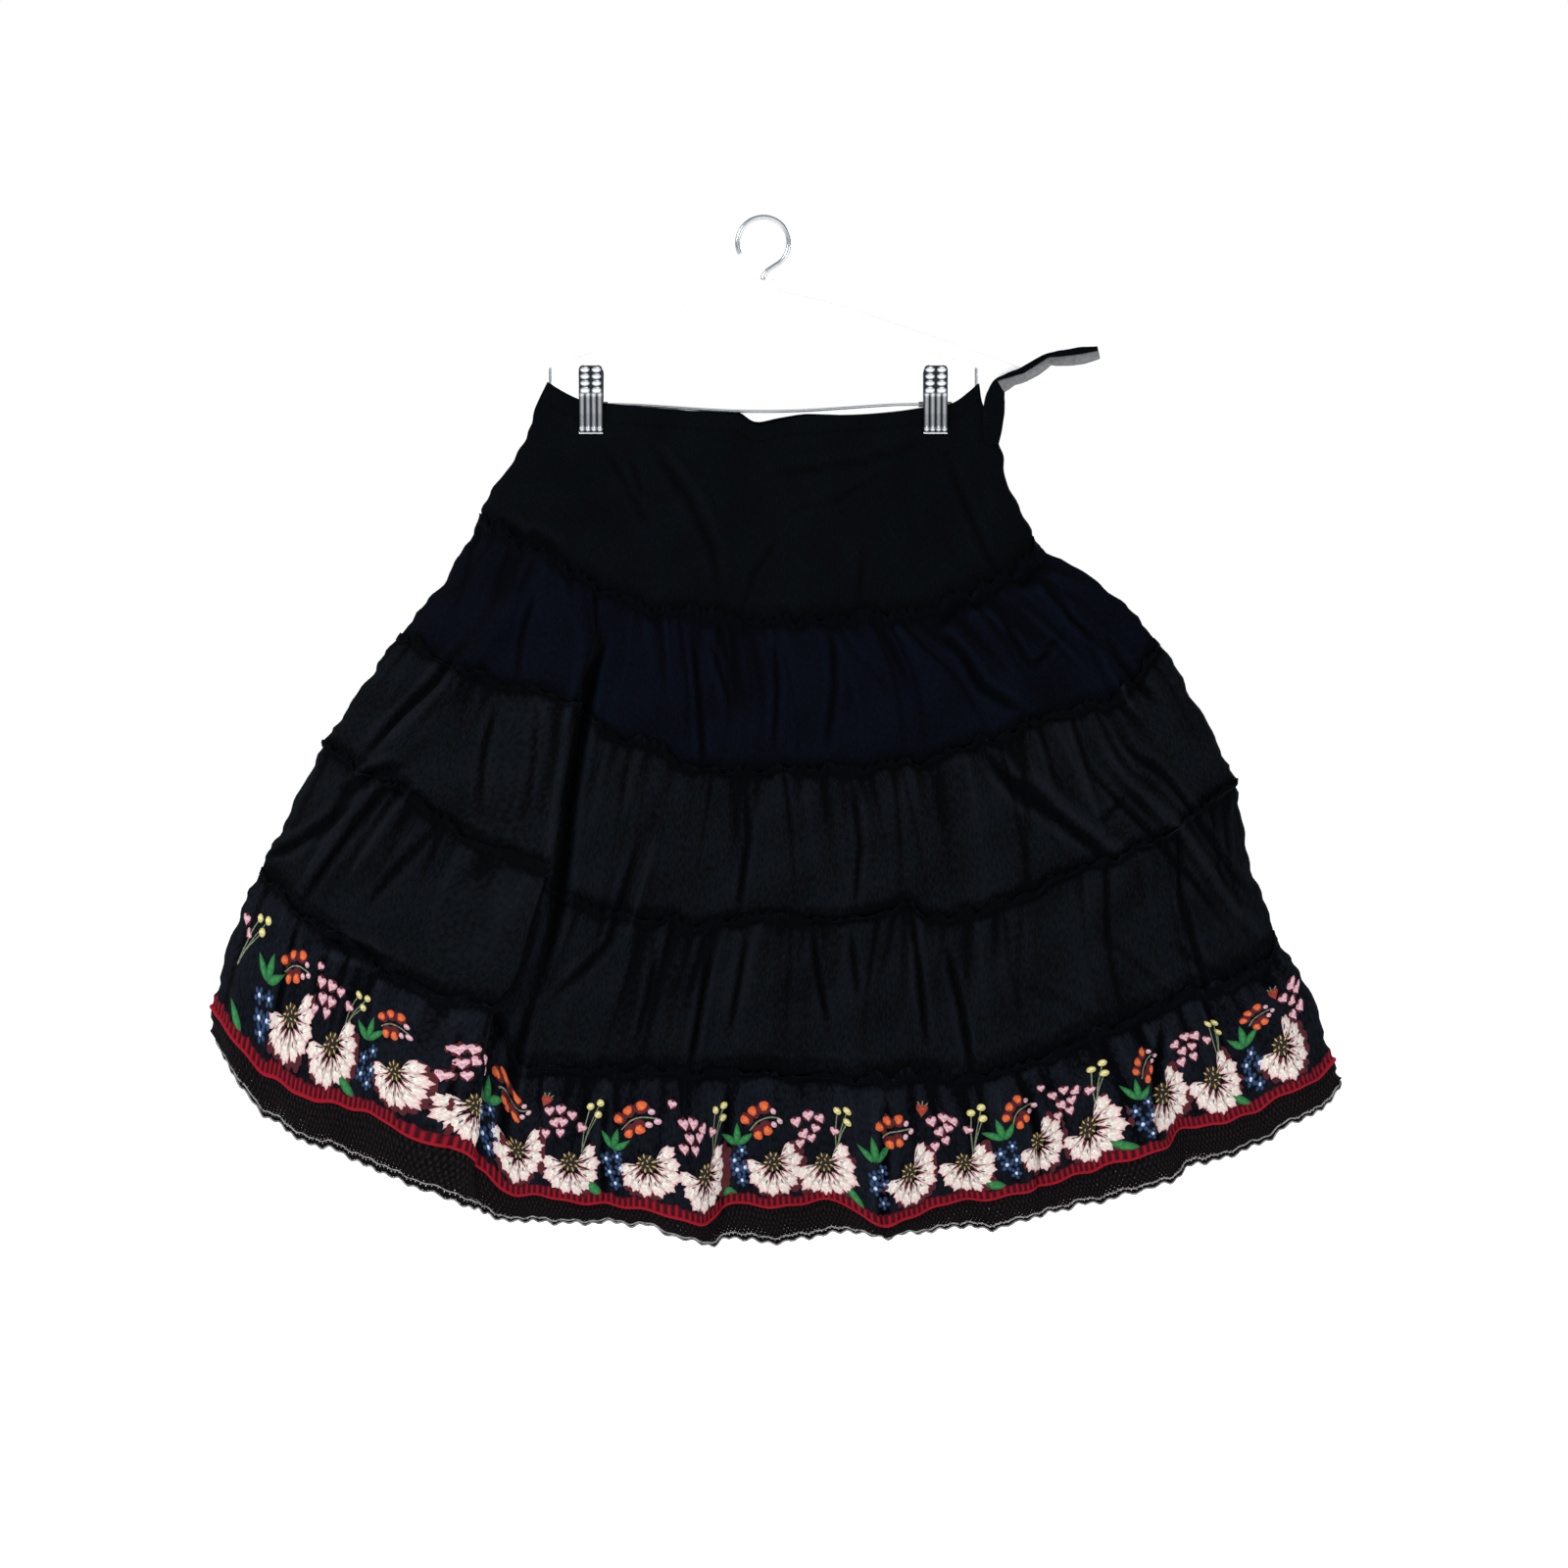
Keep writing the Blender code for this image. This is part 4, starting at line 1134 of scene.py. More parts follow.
def blue_flower(box, at, turn, size):
    for a in range(0, 360, 72):
        petal = (size * 0.42, size * 0.34)
        box.sew("round", "blue", around(at, turn + a, size * 0.62), turn + a, petal, 0.15, 0.8)
    box.sew("round", "pale blue", at, turn, size * 0.30, 0.55, 0.8)


def yellow_knots(box, at, turn, size):
    """Three round knots on thin stems that spring from the flower below."""
    foot = (at[0] - 9 * size, at[1] - 30 * size)
    for x, y in KNOTS:
        knot = (at[0] + x * size, at[1] + y * size)
        box.stem([foot, ((foot[0] + knot[0]) / 2 - 1.5, (foot[1] + knot[1]) / 2), knot], 0.9)
        box.sew("round", "yellow", knot, turn, KNOT * size, 0.35)


def strawberry(box, at, turn, size):
    box.sew("heart", "red", at, turn, (size, size * 1.25), 0.2)
    for lean in (-35, 0, 35):
        box.stem([at, around(at, turn + 90 + lean, size * 1.35)], 1.2)


print("gold stitches in a flower:", sum(ring.count for ring in GOLD_RINGS))

# %% [markdown]
# A short table says where each part sits within a repeat, in millimetres along and up from the red edge, with
# its turn in degrees and its size. Hands wander, so each one is placed, turned and sized a little differently.

# %% The embroidered band
Motif = namedtuple("Motif", "sew along up turn size")
REPEAT = (
    Motif(blue_flower, 1, 29, 10, 4.4),
    Motif(blue_flower, 9, 33, 40, 4.2),
    Motif(blue_flower, 3, 20, 0, 4.8),
    Motif(blue_flower, 11, 23, 25, 4.6),
    Motif(blue_flower, 8, 13, 60, 4.4),
    Motif(leaf_trio, 4, 37, -4, 9.0),
    Motif(orange_sprig, 25, 58, 4, 1.0),
    Motif(half_flower, 32, 28, 30, 19.5),
    Motif(pink_heart, 54, 60, 10, 4.6),
    Motif(pink_heart, 64, 63, -12, 4.6),
    Motif(pink_heart, 73, 59, 14, 4.4),
    Motif(pink_heart, 58, 50, 20, 4.4),
    Motif(pink_heart, 67, 52, -16, 4.2),
    Motif(pink_heart, 54, 41, 0, 3.9),
    Motif(pink_heart, 64, 43, 8, 3.8),
    Motif(half_flower, 74, 25, 26, 20.5),
    Motif(pink_heart, 81, 52, -25, 4.0),
    Motif(yellow_knots, 92, 65, 0, 1.0),
)
EXTRAS = ((Motif(strawberry, 50, 70, -18, 5.2),), (Motif(pink_heart, 47, 71, -18, 3.6),), ())
LEAF_ALONG, LEAF_UP, LEAF_TURN, LEAF_SIZE = 92, 9, 55, (11.0, 11.5)
LEAF_MARGIN, LEAF_WANDER = 14, 12
REPEAT_LENGTH, FIRST_REPEAT = 103.0, -60.0
START_WANDER, WANDER_MM, WANDER_DEGREES = 3, 1.5, 9
GROWTH = (1.0, 1.14)
END_MARGIN = 4


def embroider(length, seed):
    """The whole band on one side, from seam to seam."""
    box = SewingBox()
    draw = np.random.default_rng(seed)
    for number in range(int((length - FIRST_REPEAT) / REPEAT_LENGTH) + 1):
        start = FIRST_REPEAT + number * REPEAT_LENGTH + draw.uniform(-START_WANDER, START_WANDER)
        for motif in REPEAT + EXTRAS[number % len(EXTRAS)]:
            along = start + motif.along + draw.uniform(-WANDER_MM, WANDER_MM)
            up = motif.up + draw.uniform(-WANDER_MM, WANDER_MM)
            turn = motif.turn + draw.uniform(-WANDER_DEGREES, WANDER_DEGREES)
            size = motif.size * draw.uniform(*GROWTH)
            room = motif.size + END_MARGIN
            if room < along < length - room:
                motif.sew(box, (along, up), turn, size)
        along = start + LEAF_ALONG
        if LEAF_MARGIN < along < length - LEAF_MARGIN:
            turn = LEAF_TURN + draw.uniform(-LEAF_WANDER, LEAF_WANDER)
            box.sew("leaf", "green", (along, LEAF_UP), turn, LEAF_SIZE, 0.2)
    return box


print("motifs in a repeat:", len(REPEAT))

# %% [markdown]
# ## Thread
# Embroidery cotton shines a little along its fibres. Each colour runs from a lighter middle to a darker edge,
# painted light and shade on the rounded stitch, with fine ribs where the threads lie side by side, and painted
# shade in small hollows between the stitches. The cream petals blush pink at their tips.


# %% Thread finishes
RIBS_A_CM = 11.0
HOLLOW_SHADE = (0.26, 0.25, 0.24)


def thread(name, middle, edge, turn_at):
    """The power turn_at says how near the edge the colour turns."""
    made = Finish(name, Sheen_Weight=0.03, Specular_IOR_Level=0.22)
    ribs = made.stripes(RIBS_A_CM, RIBS_A_CM * 0.3)
    uneven = made.noise(9, 5)
    hollows = made.noise(3.6, 3.6)
    # Lighter middle, darker edge: painted light and shade on each rounded stitch.
    colour = made.blend(made.drawn("tip") ** turn_at, middle, edge)
    # Painted shade from the ribs, the unevenness and the hollows, multiplied into the colour.
    shade = made.blend(ribs * 0.3 + uneven * 0.9 + hollows * 1.6 - 0.98, (1, 1, 1), HOLLOW_SHADE)
    made.feed("Base Color", made.blend(1.0, colour, shade, "MULTIPLY"))
    made.feed("Roughness", 0.62 + ribs * 0.2)
    made.bump(ribs * 0.6 + uneven * 0.4, 0.6, 0.35)
    return made.material


thread_finishes = [thread(f"{name} embroidery cotton", *THREAD_COLOURS[name]) for name in THREADS]
print("threads:", len(thread_finishes))

# %% [markdown]
# To carry flat stitching to the draped cloth, a point's place along and up is turned into a place between
# the rows and columns of the flounce, and the face and its normal are read there.


# %% Carry stitching to the cloth
RED_EDGE = 4.925


def on_flounce(panel, along, up):
    """Points and normals of the flounce's outer face, at millimetres along it and up from the red edge."""
    share = along / panel.length
    column = np.clip(share, 0, 1) * (panel.points.shape[1] - 1)
    level = np.clip(RED_EDGE - up / LEVEL_HEIGHTS[HEM_SEAM], panel.levels[0], panel.levels[-1])
    row = np.interp(level, panel.levels, np.arange(len(panel.levels)))
    r0 = np.clip(row.astype(int), 0, panel.points.shape[0] - 2)
    c0 = np.clip(column.astype(int), 0, panel.points.shape[1] - 2)
    tr, tc = (row - r0)[:, None], (column - c0)[:, None]
    found = []
    for field in (panel.points, panel.normals):
        top = field[r0, c0] * (1 - tc) + field[r0, c0 + 1] * tc
        low = field[r0 + 1, c0] * (1 - tc) + field[r0 + 1, c0 + 1] * tc
        found.append(top * (1 - tr) + low * tr)
    return found[0], unit(found[1])


def finish_stitching(panel, box, name):
    """One mesh of everything in the sewing box, on the draped cloth."""
    flat = np.concatenate(box.points)
    points, normals = on_flounce(panel, flat[:, 0], flat[:, 1])
    mesh = bpy.data.meshes.new(name)
    mesh.from_pydata(metres(points + normals * flat[:, 2:3]).tolist(), [], box.faces)
    piece = bpy.data.objects.new(name, mesh)
    bpy.context.scene.collection.objects.link(piece)
    for finish in thread_finishes:
        mesh.materials.append(finish)
    mesh.polygons.foreach_set("material_index", np.array(box.colours, np.int32))
    map_flat(mesh, np.concatenate(box.flat))
    draw_on(piece, "tip", np.clip(np.concatenate(box.tips), 0, 1))
    merge_doubles(piece)
    return hand_over(piece)


for side, word in SIDES:
    panel = panels["hem", side]
    box = embroider(panel.length, 31 + side)
    finish_stitching(panel, box, f"flower_embroidery_{word}")

# %% [markdown]
# ## The red edge
# Blanket stitch in red wool covers the flounce's raw edge: upright bars a few millimetres apart, and a thick
# cord of wool along the bottom that joins them. It is one strip whose height follows the stitches, and the
# cloth shows dark between the bars.

# %% Blanket stitch
STITCH_PITCH, STITCH_COLUMNS = 4.4, 6
STITCH_UPS = (5.0, 3.0, 0.0, -3.4, -4.2, -5.6, -7.0, -7.6)
TOPS_UNEVEN = (-2.6, 2.0)
BAR_WIDTH, BAR_HEIGHT, BAR_FROM = 0.21, 0.95, -4
TOPS_FROM, LOW_FROM, LOW_SHARE = 2, 4, 0.3
WOOL_LIFT, WOOL_FULL = 0.15, 0.9
CORD_PROFILE = ((-7.6, 0.0), (-7.0, 1.1), (-5.6, 1.5), (-4.2, 1.1), (-3.4, 0.0))


def red_wool():
    made = Finish("red wool stitching", Sheen_Weight=0.02, Specular_IOR_Level=0.08)
    fibres = made.noise(16, 30)
    high = made.drawn("stitch")
    colour = made.blend(high, (0.010, 0.002, 0.005), (0.28, 0.005, 0.014))
    made.feed("Base Color", made.blend(fibres * 1.1 - 0.3, colour, (0.060, 0.001, 0.005)))
    made.feed("Roughness", 0.8 + fibres * 0.15)
    made.bump(fibres, 0.5, 0.4)
    return made.material


wool = red_wool()


def blanket_stitch(panel, node, name, seed):
    """A strip along the red edge, raised where its bars and its cord are."""
    stitches = int(panel.length / STITCH_PITCH)
    columns = stitches * STITCH_COLUMNS
    along = np.linspace(0, panel.length, columns + 1)
    number = np.minimum((along / STITCH_PITCH).astype(int), stitches)
    tops = np.random.default_rng(seed).uniform(*TOPS_UNEVEN, stitches + 1)[number]
    bar = np.exp(-((((along / STITCH_PITCH) % 1 - 0.5) / BAR_WIDTH) ** 2))
    ups = np.array(STITCH_UPS)
    grid_along = np.repeat(along[None, :], len(ups), axis=0)
    grid_up = np.repeat(ups[:, None], columns + 1, axis=1)
    grid_up = grid_up + np.where(grid_up > TOPS_FROM, tops[None, :] * bar[None, :], 0)
    cord = np.interp(ups, *zip(*CORD_PROFILE), left=0, right=0)
    high = np.maximum(cord[:, None], np.where(ups[:, None] > BAR_FROM, BAR_HEIGHT * bar[None, :], 0))
    high = np.where(ups[:, None] > LOW_FROM, high * LOW_SHARE, high)
    points, normals = on_flounce(panel, grid_along.ravel(), grid_up.ravel())
    laid = (points + normals * (WOOL_LIFT + high.ravel()[:, None])).reshape(len(ups), columns + 1, 3)
    flat = np.stack([grid_along / 10, grid_up / 10], axis=-1)
    piece, row, column = lay_grid(name, laid, wool, flat)
    draw_on(piece, "stitch", np.clip(high[row, column] / WOOL_FULL, 0, 1))
    return hand_over(piece, "red_braid", node)


for side, word in SIDES:
    panel = panels["hem", side]
    blanket_stitch(panel, f"red_braid_{word}", f"blanket_stitch_{word}", 51 + side)

# %% [markdown]
# ## Lace
# The edging is black machine lace, sewn behind the red wool. It ripples, its points are wavy, and two pale
# cords follow the waves. The net is pierced with small holes, which the finish cuts out. Where the photograph
# shows the lace drawn up, a short table of heights lifts its edge.

# %% Lace edging
LACE_COLUMNS, LACE_ROWS = 420, 12
LACE_TOP, LACE_END = 4.97, 6.0
LACE_CM = 2.4
LACE_BEHIND = 1.1
RIPPLE = Wave(1.2, 5.2, 0, 2, 61)
SCALLOP, SCALLOP_BREAK = Wave(1.2, 12.0 / math.tau, 0, 1, 47), Wave(0.24, 3.1, 0, 0, 1)
HOLES_A_CM, HOLE_SIZE = (3.1, 1.8), 0.95
CORD_SIDES = 6
LACE_LIFTS = (
    (340, 0), (380, -7), (416, 0), (451, -4), (487, -1), (523, 13), (559, 10), (594, 14), (640, 14), (665, 15),
    (690, 9), (717, 12), (735, 3), (747, -3), (815, -2), (851, 0), (880, 10), (905, 18), (942, 11), (969, 8),
    (1016, 3), (1068, 7), (1121, 3), (1174, -2), (1240, 0),
)


def lace_net():
    made = Finish("black lace net", Specular_IOR_Level=0.04)
    across, down = HOLES_A_CM
    holes = made.stripes(across, down) * made.stripes(-across, down)
    sprigs, tufts = made.noise(0.9, 0.9), made.noise(7, 7)
    opening = holes - sprigs * 0.15 + made.drawn("ridge") * 0.09
    made.feed("Alpha", 1 - made.node("ShaderNodeMath", {"operation": "GREATER_THAN"}, (opening, HOLE_SIZE)))
    shown = tufts * 2.0 + holes * 0.8 - 0.95
    made.feed("Base Color", made.blend(shown, (0.0002, 0.0002, 0.0004), (0.0120, 0.0085, 0.0095)))
    made.feed("Roughness", 0.6 + tufts * 0.3)
    made.bump(tufts + holes, 0.5, 0.5)
    return made.material


def pale_cord():
    made = Finish("pale lace cord", Specular_IOR_Level=0.4, Roughness=0.6)
    broken = made.node("ShaderNodeMapRange", None, {0: made.noise(3.0, 3.0), 1: 0.30, 2: 0.52})
    made.feed("Base Color", made.blend(broken, (0.01, 0.009, 0.01), (0.21, 0.20, 0.205)))
    return made.material


lace_finish, cord_finish = lace_net(), pale_cord()


def lace_points(side, shares):
    """The lace's face, row by row, with its ripples and wavy points."""
    levels = np.linspace(LACE_TOP, LACE_END, LACE_ROWS + 1)
    points, _, along, _ = surface(side, levels, shares)
    down = (levels[:, None] - LACE_TOP) / (LACE_END - LACE_TOP)
    points[..., 1] += side * (ride_wave(along, RIPPLE) * down - LACE_BEHIND * (1 - down))
    points[..., 2] -= (ride_wave(along, SCALLOP) + ride_wave(along, SCALLOP_BREAK)) * down**3
    in_front = points[..., 0] if side == FRONT else BACK_SHIFT - points[..., 0]
    points[..., 2] += eased(in_front, LACE_LIFTS) * down
    return points, along, down


def lace_cord(name, side, shares, share_down, radius):
    """A round cord on the lace, a share of the way down it."""
    points, along, _ = lace_points(side, shares)
    row = share_down * LACE_ROWS
    low = int(min(row, LACE_ROWS - 1))
    line = points[low] * (1 - row + low) + points[low + 1] * (row - low)
    run = unit(np.gradient(line, axis=0))
    outward = unit(np.cross(run, np.array([0, 0, 1.0])))
    upward = np.cross(outward, run)
    around_it = np.linspace(0, math.tau, CORD_SIDES + 1)[:, None, None]
    tube = line[None] + (outward[None] * np.cos(around_it) + upward[None] * np.sin(around_it)) * radius
    along = along[: CORD_SIDES + 1]
    flat = np.stack([along / 10, 0 * along + share_down * LACE_CM], axis=-1)
    piece = lay_grid(name, tube, cord_finish, flat)[0]
    merge_doubles(piece, recalculate=True)
    return hand_over(piece, "black_lace")


lace, lace_cords = {}, {}
for side, word in SIDES:
    shares = across_shares(side, LACE_COLUMNS)
    points, along, down = lace_points(side, shares)
    flat = np.stack([along / 10, -down * LACE_CM + 0 * along], axis=-1)
    lace[side], row, column = lay_grid(f"lace_{word}", points, lace_finish, flat)
    draw_on(lace[side], "ridge", (down**2 + 0 * along)[row, column])
    hand_over(lace[side], "black_lace", f"lace_edging_{word}")
    lace_cords[side] = [
        lace_cord(f"lace_edge_cord_{word}", side, shares, 1.0, 0.75),
        lace_cord(f"lace_inner_cord_{word}", side, shares, 0.82, 0.60),
    ]
print("lace", len(lace[FRONT].data.polygons), "faces a side")

# %% [markdown]
# ## The tie
# A narrow stitched strip comes out of the right side seam, bunches there, and runs up in front of the hanger's
# arm. Past the bunch a satin tape lies beside it. Both strands follow the solid's middle line, set a little
# apart and turned a few degrees to and fro, so that each catches the light in its own way.

# %% Side tie
TiePoint = namedtuple("TiePoint", "x y z turn spread width")
TIE = (
    TiePoint(177.5, -6.4, -27, 0, 0, 11.0),
    TiePoint(178.5, -5.2, -15, 0, 0, 14.5),
    TiePoint(179, -4.6, -3, 3, 0, 17.0),
    TiePoint(180, -4.8, 8, 8, 0, 15.5),
    TiePoint(184, -5.0, 18, 20, 1.6, 11.0),
    TiePoint(193, -5.0, 23.0, 12, 2.2, 7.0),
    TiePoint(203, -5.0, 26.5, -14, 2.4, 6.6),
    TiePoint(212, -4.6, 32.0, 10, 2.6, 7.0),
    TiePoint(222, -3.0, 38.5, 38, 2.6, 7.6),
    TiePoint(233, -1.6, 39.5, 6, 2.6, 7.4),
    TiePoint(248, -0.8, 41.5, -8, 2.8, 7.8),
    TiePoint(261, -1, 44.0, 12, 2.0, 6.2),
)
TAPE_FROM = 4
TIE_STEPS, TIE_ROWS, TIE_SMOOTHINGS = 120, 6, 6
CURL, CURL_WAVE = 0.9, 0.25
TIE_THICKNESS = 1.0


def satin_tape():
    made = Finish("charcoal satin tape", Specular_IOR_Level=0.5)
    ribs = made.stripes(0, 9)
    mottle_and_painted_light = made.noise(3, 3)
    # Colour from near black to light grey: the tape's own charcoal, with painted sheen in its lighter patches.
    made.feed("Base Color", made.blend(ribs * 0.3 + mottle_and_painted_light * 0.7, (0.02, 0.02, 0.022), (0.20, 0.20, 0.21)))
    made.feed("Roughness", 0.35 + mottle_and_painted_light * 0.2)
    made.bump(ribs, 0.5, 0.3)
    return made.material


satin = satin_tape()


def tie_strand(name, rows, phase, finish):
    """A curled strip beside the tie's middle line, on the side that the phase in degrees gives."""
    rows = np.array(rows, float)
    at = np.linspace(0, len(rows) - 1, TIE_STEPS + 1)
    lines = np.stack([np.interp(at, range(len(rows)), column) for column in rows.T], axis=1)
    for _ in range(TIE_SMOOTHINGS):
        lines[1:-1] = (lines[:-2] + 2 * lines[1:-1] + lines[2:]) / 4
    path, turn, spread, width = lines[:, :3], np.radians(lines[:, 3:4] + phase), lines[:, 4:5], lines[:, 5:6]
    run = unit(np.gradient(path, axis=0))
    upright = unit(np.cross(run, np.array([0, 1.0, 0])))
    level = np.cross(upright, run)
    widthways = upright * np.cos(turn) + level * np.sin(turn)
    faceways = unit(level * np.cos(turn) - upright * np.sin(turn))
    points = []
    for share in np.linspace(-0.5, 0.5, TIE_ROWS + 1):
        curl = CURL * math.cos(share * math.pi) + CURL_WAVE * np.sin(at * 5 + share * 9 + phase)
        points.append(path + widthways * (spread + width * share) + faceways * curl[:, None])
    flat = np.stack(np.meshgrid(at * 1.3, np.linspace(0, 0.8, TIE_ROWS + 1)), axis=-1)
    piece = lay_grid(name, np.stack(points), finish, flat)[0]
    draw_on(piece, "ridge", np.full(len(piece.data.vertices), 0.5))
    apply_modifier(piece, "SOLIDIFY", thickness=TIE_THICKNESS * MM, offset=0)
    return piece


tape = tie_strand("tie_tape", TIE[TAPE_FROM:], 180, satin)
tie = tie_strand("side_tie_cloth", TIE, 0, yoke_gauze)
select_only(tie)
tape.select_set(True)
bpy.ops.object.join()
hand_over(tie, "black_cotton", "side_tie")
print("tie", len(tie.data.polygons), "faces")

# %% [markdown]
# ## Metal and plastic
# The clips are stamped steel with a bright plate: four upright ribs on the jaw and two columns of beads on
# the grip. Bright metal takes its look from what it reflects, so the plain chrome's finish only breaks up the
# gloss a little. The stamped plates also get painted shade in their hollows and painted highlights on their
# ribs and beads.


# %% Hard finishes
def chrome_plate():
    made = Finish("bright chrome plate", Metallic=1.0)
    scuffs = made.grain(0.6)
    made.feed("Base Color", made.blend(scuffs, (0.30, 0.32, 0.34), (0.60, 0.62, 0.64)))
    made.feed("Roughness", 0.10 + scuffs * 0.22)
    return made.material


def chrome_with_painted_light():
    """Chrome with painted shade in the hollows of the stamping and painted highlights on its ribs and beads."""
    made = Finish("stamped chrome plate", Metallic=1.0)
    # Painted highlight where the stamping stands up, painted shade where it sinks.
    high = made.drawn("ridge") * 1.35 - 0.2
    made.feed("Base Color", made.blend(high, (0.015, 0.018, 0.022), (0.66, 0.68, 0.70)))
    made.feed("Roughness", 0.16 + made.grain(0.6) * 0.2)
    return made.material


def white_plastic():
    made = Finish("white moulded plastic", Specular_IOR_Level=0.5)
    grain = made.grain(1.0)
    made.feed("Base Color", made.blend(grain, (0.80, 0.80, 0.81), (0.86, 0.86, 0.87)))
    made.feed("Roughness", 0.28 + grain * 0.1)
    made.bump(grain, 0.15, 0.05)
    return made.material


chrome, stamped, plastic = chrome_plate(), chrome_with_painted_light(), white_plastic()
print("hard finishes:", [finish.name for finish in (chrome, stamped, plastic)])

# %% [markdown]
# A clip is two plates that a bent strip of spring steel pushes apart above the bar, so that they close on the
# cloth below it. Each plate is a grid whose height follows its stamping, and it gets its thickness afterwards.
# A rolled tube slides on the bar.

# %% Clips
JawPoint = namedtuple("JawPoint", "z front_y back_y")
JAW = (
    JawPoint(-19.5, -2.4, 2.4),
    JawPoint(-13, -2.4, 2.4),
    JawPoint(-4, -2.7, 5.6),
    JawPoint(12, -4.0, 8.4),
    JawPoint(33, -8.6, 12.6),
)
JAW_COLUMNS, JAW_ROWS, JAW_THICKNESS = 32, 80, 0.9
PRESSED = 0.72
RIBS_AT, RIB_WIDTH, RIB_SPAN, RIB_HEIGHT = (-6.9, -2.3, 2.3, 6.9), 1.5, (-17.2, 12.6), 0.62
DOTS_AT, DOT_RADIUS, DOT_HEIGHT = (12.0, -16.2), 1.7, 0.5
BEADS_AT, BEAD_ZS, BEAD_HALF = (-4.5, 4.5), (14.7, 19.8, 24.9, 30.0), (3.3, 2.0)
LIP_BELOW, LIP_HEIGHT, CORNER = -18.0, 0.8, 4.0
SPRING_TURN, SPRING_MIDDLE, SPRING_HALF, SPRING_WIDTH = (200, -20), (2.5, 11.0), (6.4, 5.5), 3.4
SPRING_THICKNESS = 0.7
BARREL_RADIUS, BARREL_HALF, BARREL_EDGE, BARREL_TONE = 2.2, 13.0, 0.5, 0.32
BAR_Z, BAR_RADIUS = 4.0, 1.15


def stamping(x, z):
    """The height of the ribs, their end dots, the beads and the lip, from 0 to about 1."""
    relief = np.zeros(x.shape)
    for rib_x in RIBS_AT:
        length = smooth_step((z - RIB_SPAN[0]) / 1.5) * smooth_step((RIB_SPAN[1] - z) / 1.5)
        relief += RIB_HEIGHT * np.exp(-(((x - rib_x) / RIB_WIDTH) ** 2)) * length
        for dot_z in DOTS_AT:
            relief += DOT_HEIGHT * np.exp(-(((x - rib_x) ** 2 + (z - dot_z) ** 2) / DOT_RADIUS**2))
    for bead_x in BEADS_AT:
        for bead_z in BEAD_ZS:
            off = ((x - bead_x) / BEAD_HALF[0]) ** 2 + ((z - bead_z) / BEAD_HALF[1]) ** 2
            relief += np.exp(-(off**2))
    return relief + LIP_HEIGHT * smooth_step((LIP_BELOW - z) / 0.8)


def jaw(node, centre_x, column):
    """A stamped plate in place of its coarse solid. The column of the table gives its face."""
    outward = -1 if column == 1 else 1
    heights = np.linspace(JAW[-1].z, JAW[0].z, JAW_ROWS + 1)
    widths = np.linspace(-0.5, 0.5, JAW_COLUMNS + 1) * CLIP_WIDTH * (-outward)
    x, z = np.meshgrid(widths, heights)
    rows = np.array(JAW, float)
    relief = stamping(x, z)
    y = np.interp(z, rows[:, 0], rows[:, column]) + outward * relief * PRESSED
    pulled = np.clip(1 - (JAW[-1].z - z) / CORNER, 0, 1)
    half_width = CLIP_WIDTH / 2 - CORNER * (1 - np.sqrt(1 - pulled**2))
    points = np.stack([centre_x + np.clip(x, -half_width, half_width), y, z], axis=-1)
    piece, row, column = lay_grid(node + "_plate", points, stamped)
    # The stamping's relief sets where the chrome gets painted highlights and painted shade.
    draw_on(piece, "ridge", np.clip(relief[row, column], 0, 1))
    apply_modifier(piece, "SOLIDIFY", thickness=JAW_THICKNESS * MM, offset=0)
    return hand_over(piece, "chrome", node)


def spring_band(name, centre_x):
    """The bent strip that pushes the plates apart above the bar."""
    angle = np.radians(np.linspace(*SPRING_TURN, 25))
    y = SPRING_MIDDLE[0] + SPRING_HALF[0] * np.cos(angle)
    z = SPRING_MIDDLE[1] + SPRING_HALF[1] * np.sin(angle)
    x = centre_x + np.linspace(SPRING_WIDTH, -SPRING_WIDTH, 5)
    points = np.stack(np.broadcast_arrays(x[:, None], y[None, :], z[None, :]), axis=-1)
    piece = lay_grid(name, points, chrome)[0]
    apply_modifier(piece, "SOLIDIFY", thickness=SPRING_THICKNESS * MM, offset=0)
    return hand_over(piece, "chrome")


def clip_barrel(node, centre_x):
    """The rolled tube that slides on the bar and shows as an ear at each side."""
    bpy.ops.object.select_all(action="DESELECT")
    bpy.ops.mesh.primitive_cylinder_add(
        vertices=32,
        radius=BARREL_RADIUS * MM,
        depth=2 * BARREL_HALF * MM,
        location=metres((centre_x, BAR_Y, BAR_Z)),
        rotation=(0, math.pi / 2, 0),
    )
    piece = bpy.context.active_object
    piece.name = node + "_tube"
    bpy.ops.object.transform_apply(location=True, rotation=True, scale=True)
    apply_modifier(piece, "BEVEL", width=BARREL_EDGE * MM, segments=3, limit_method="ANGLE")
    piece.data.materials.append(stamped)
    # One even tone on the stamped finish, a grey between its painted shade and its painted highlight.
    draw_on(piece, "ridge", np.full(len(piece.data.vertices), BARREL_TONE))
    return hand_over(piece, "chrome", node, smooth_to=40)


for word, centre_x in (("left", -CLIP_X), ("right", CLIP_X)):
    jaw(f"clip_{word}_front_jaw", centre_x, 1)
    jaw(f"clip_{word}_back_jaw", centre_x, 2)
    spring_band(f"clip_{word}_spring", centre_x)
    clip_barrel(f"clip_{word}_barrel", centre_x)
print("clips at", -CLIP_X, CLIP_X)

# %% [markdown]
# The hanger is a plain moulded pair of arms with a wire hook and a wire bar. The wires are curves with a
# round section, made into meshes, and the arms are a flat outline given its thickness and soft edges.

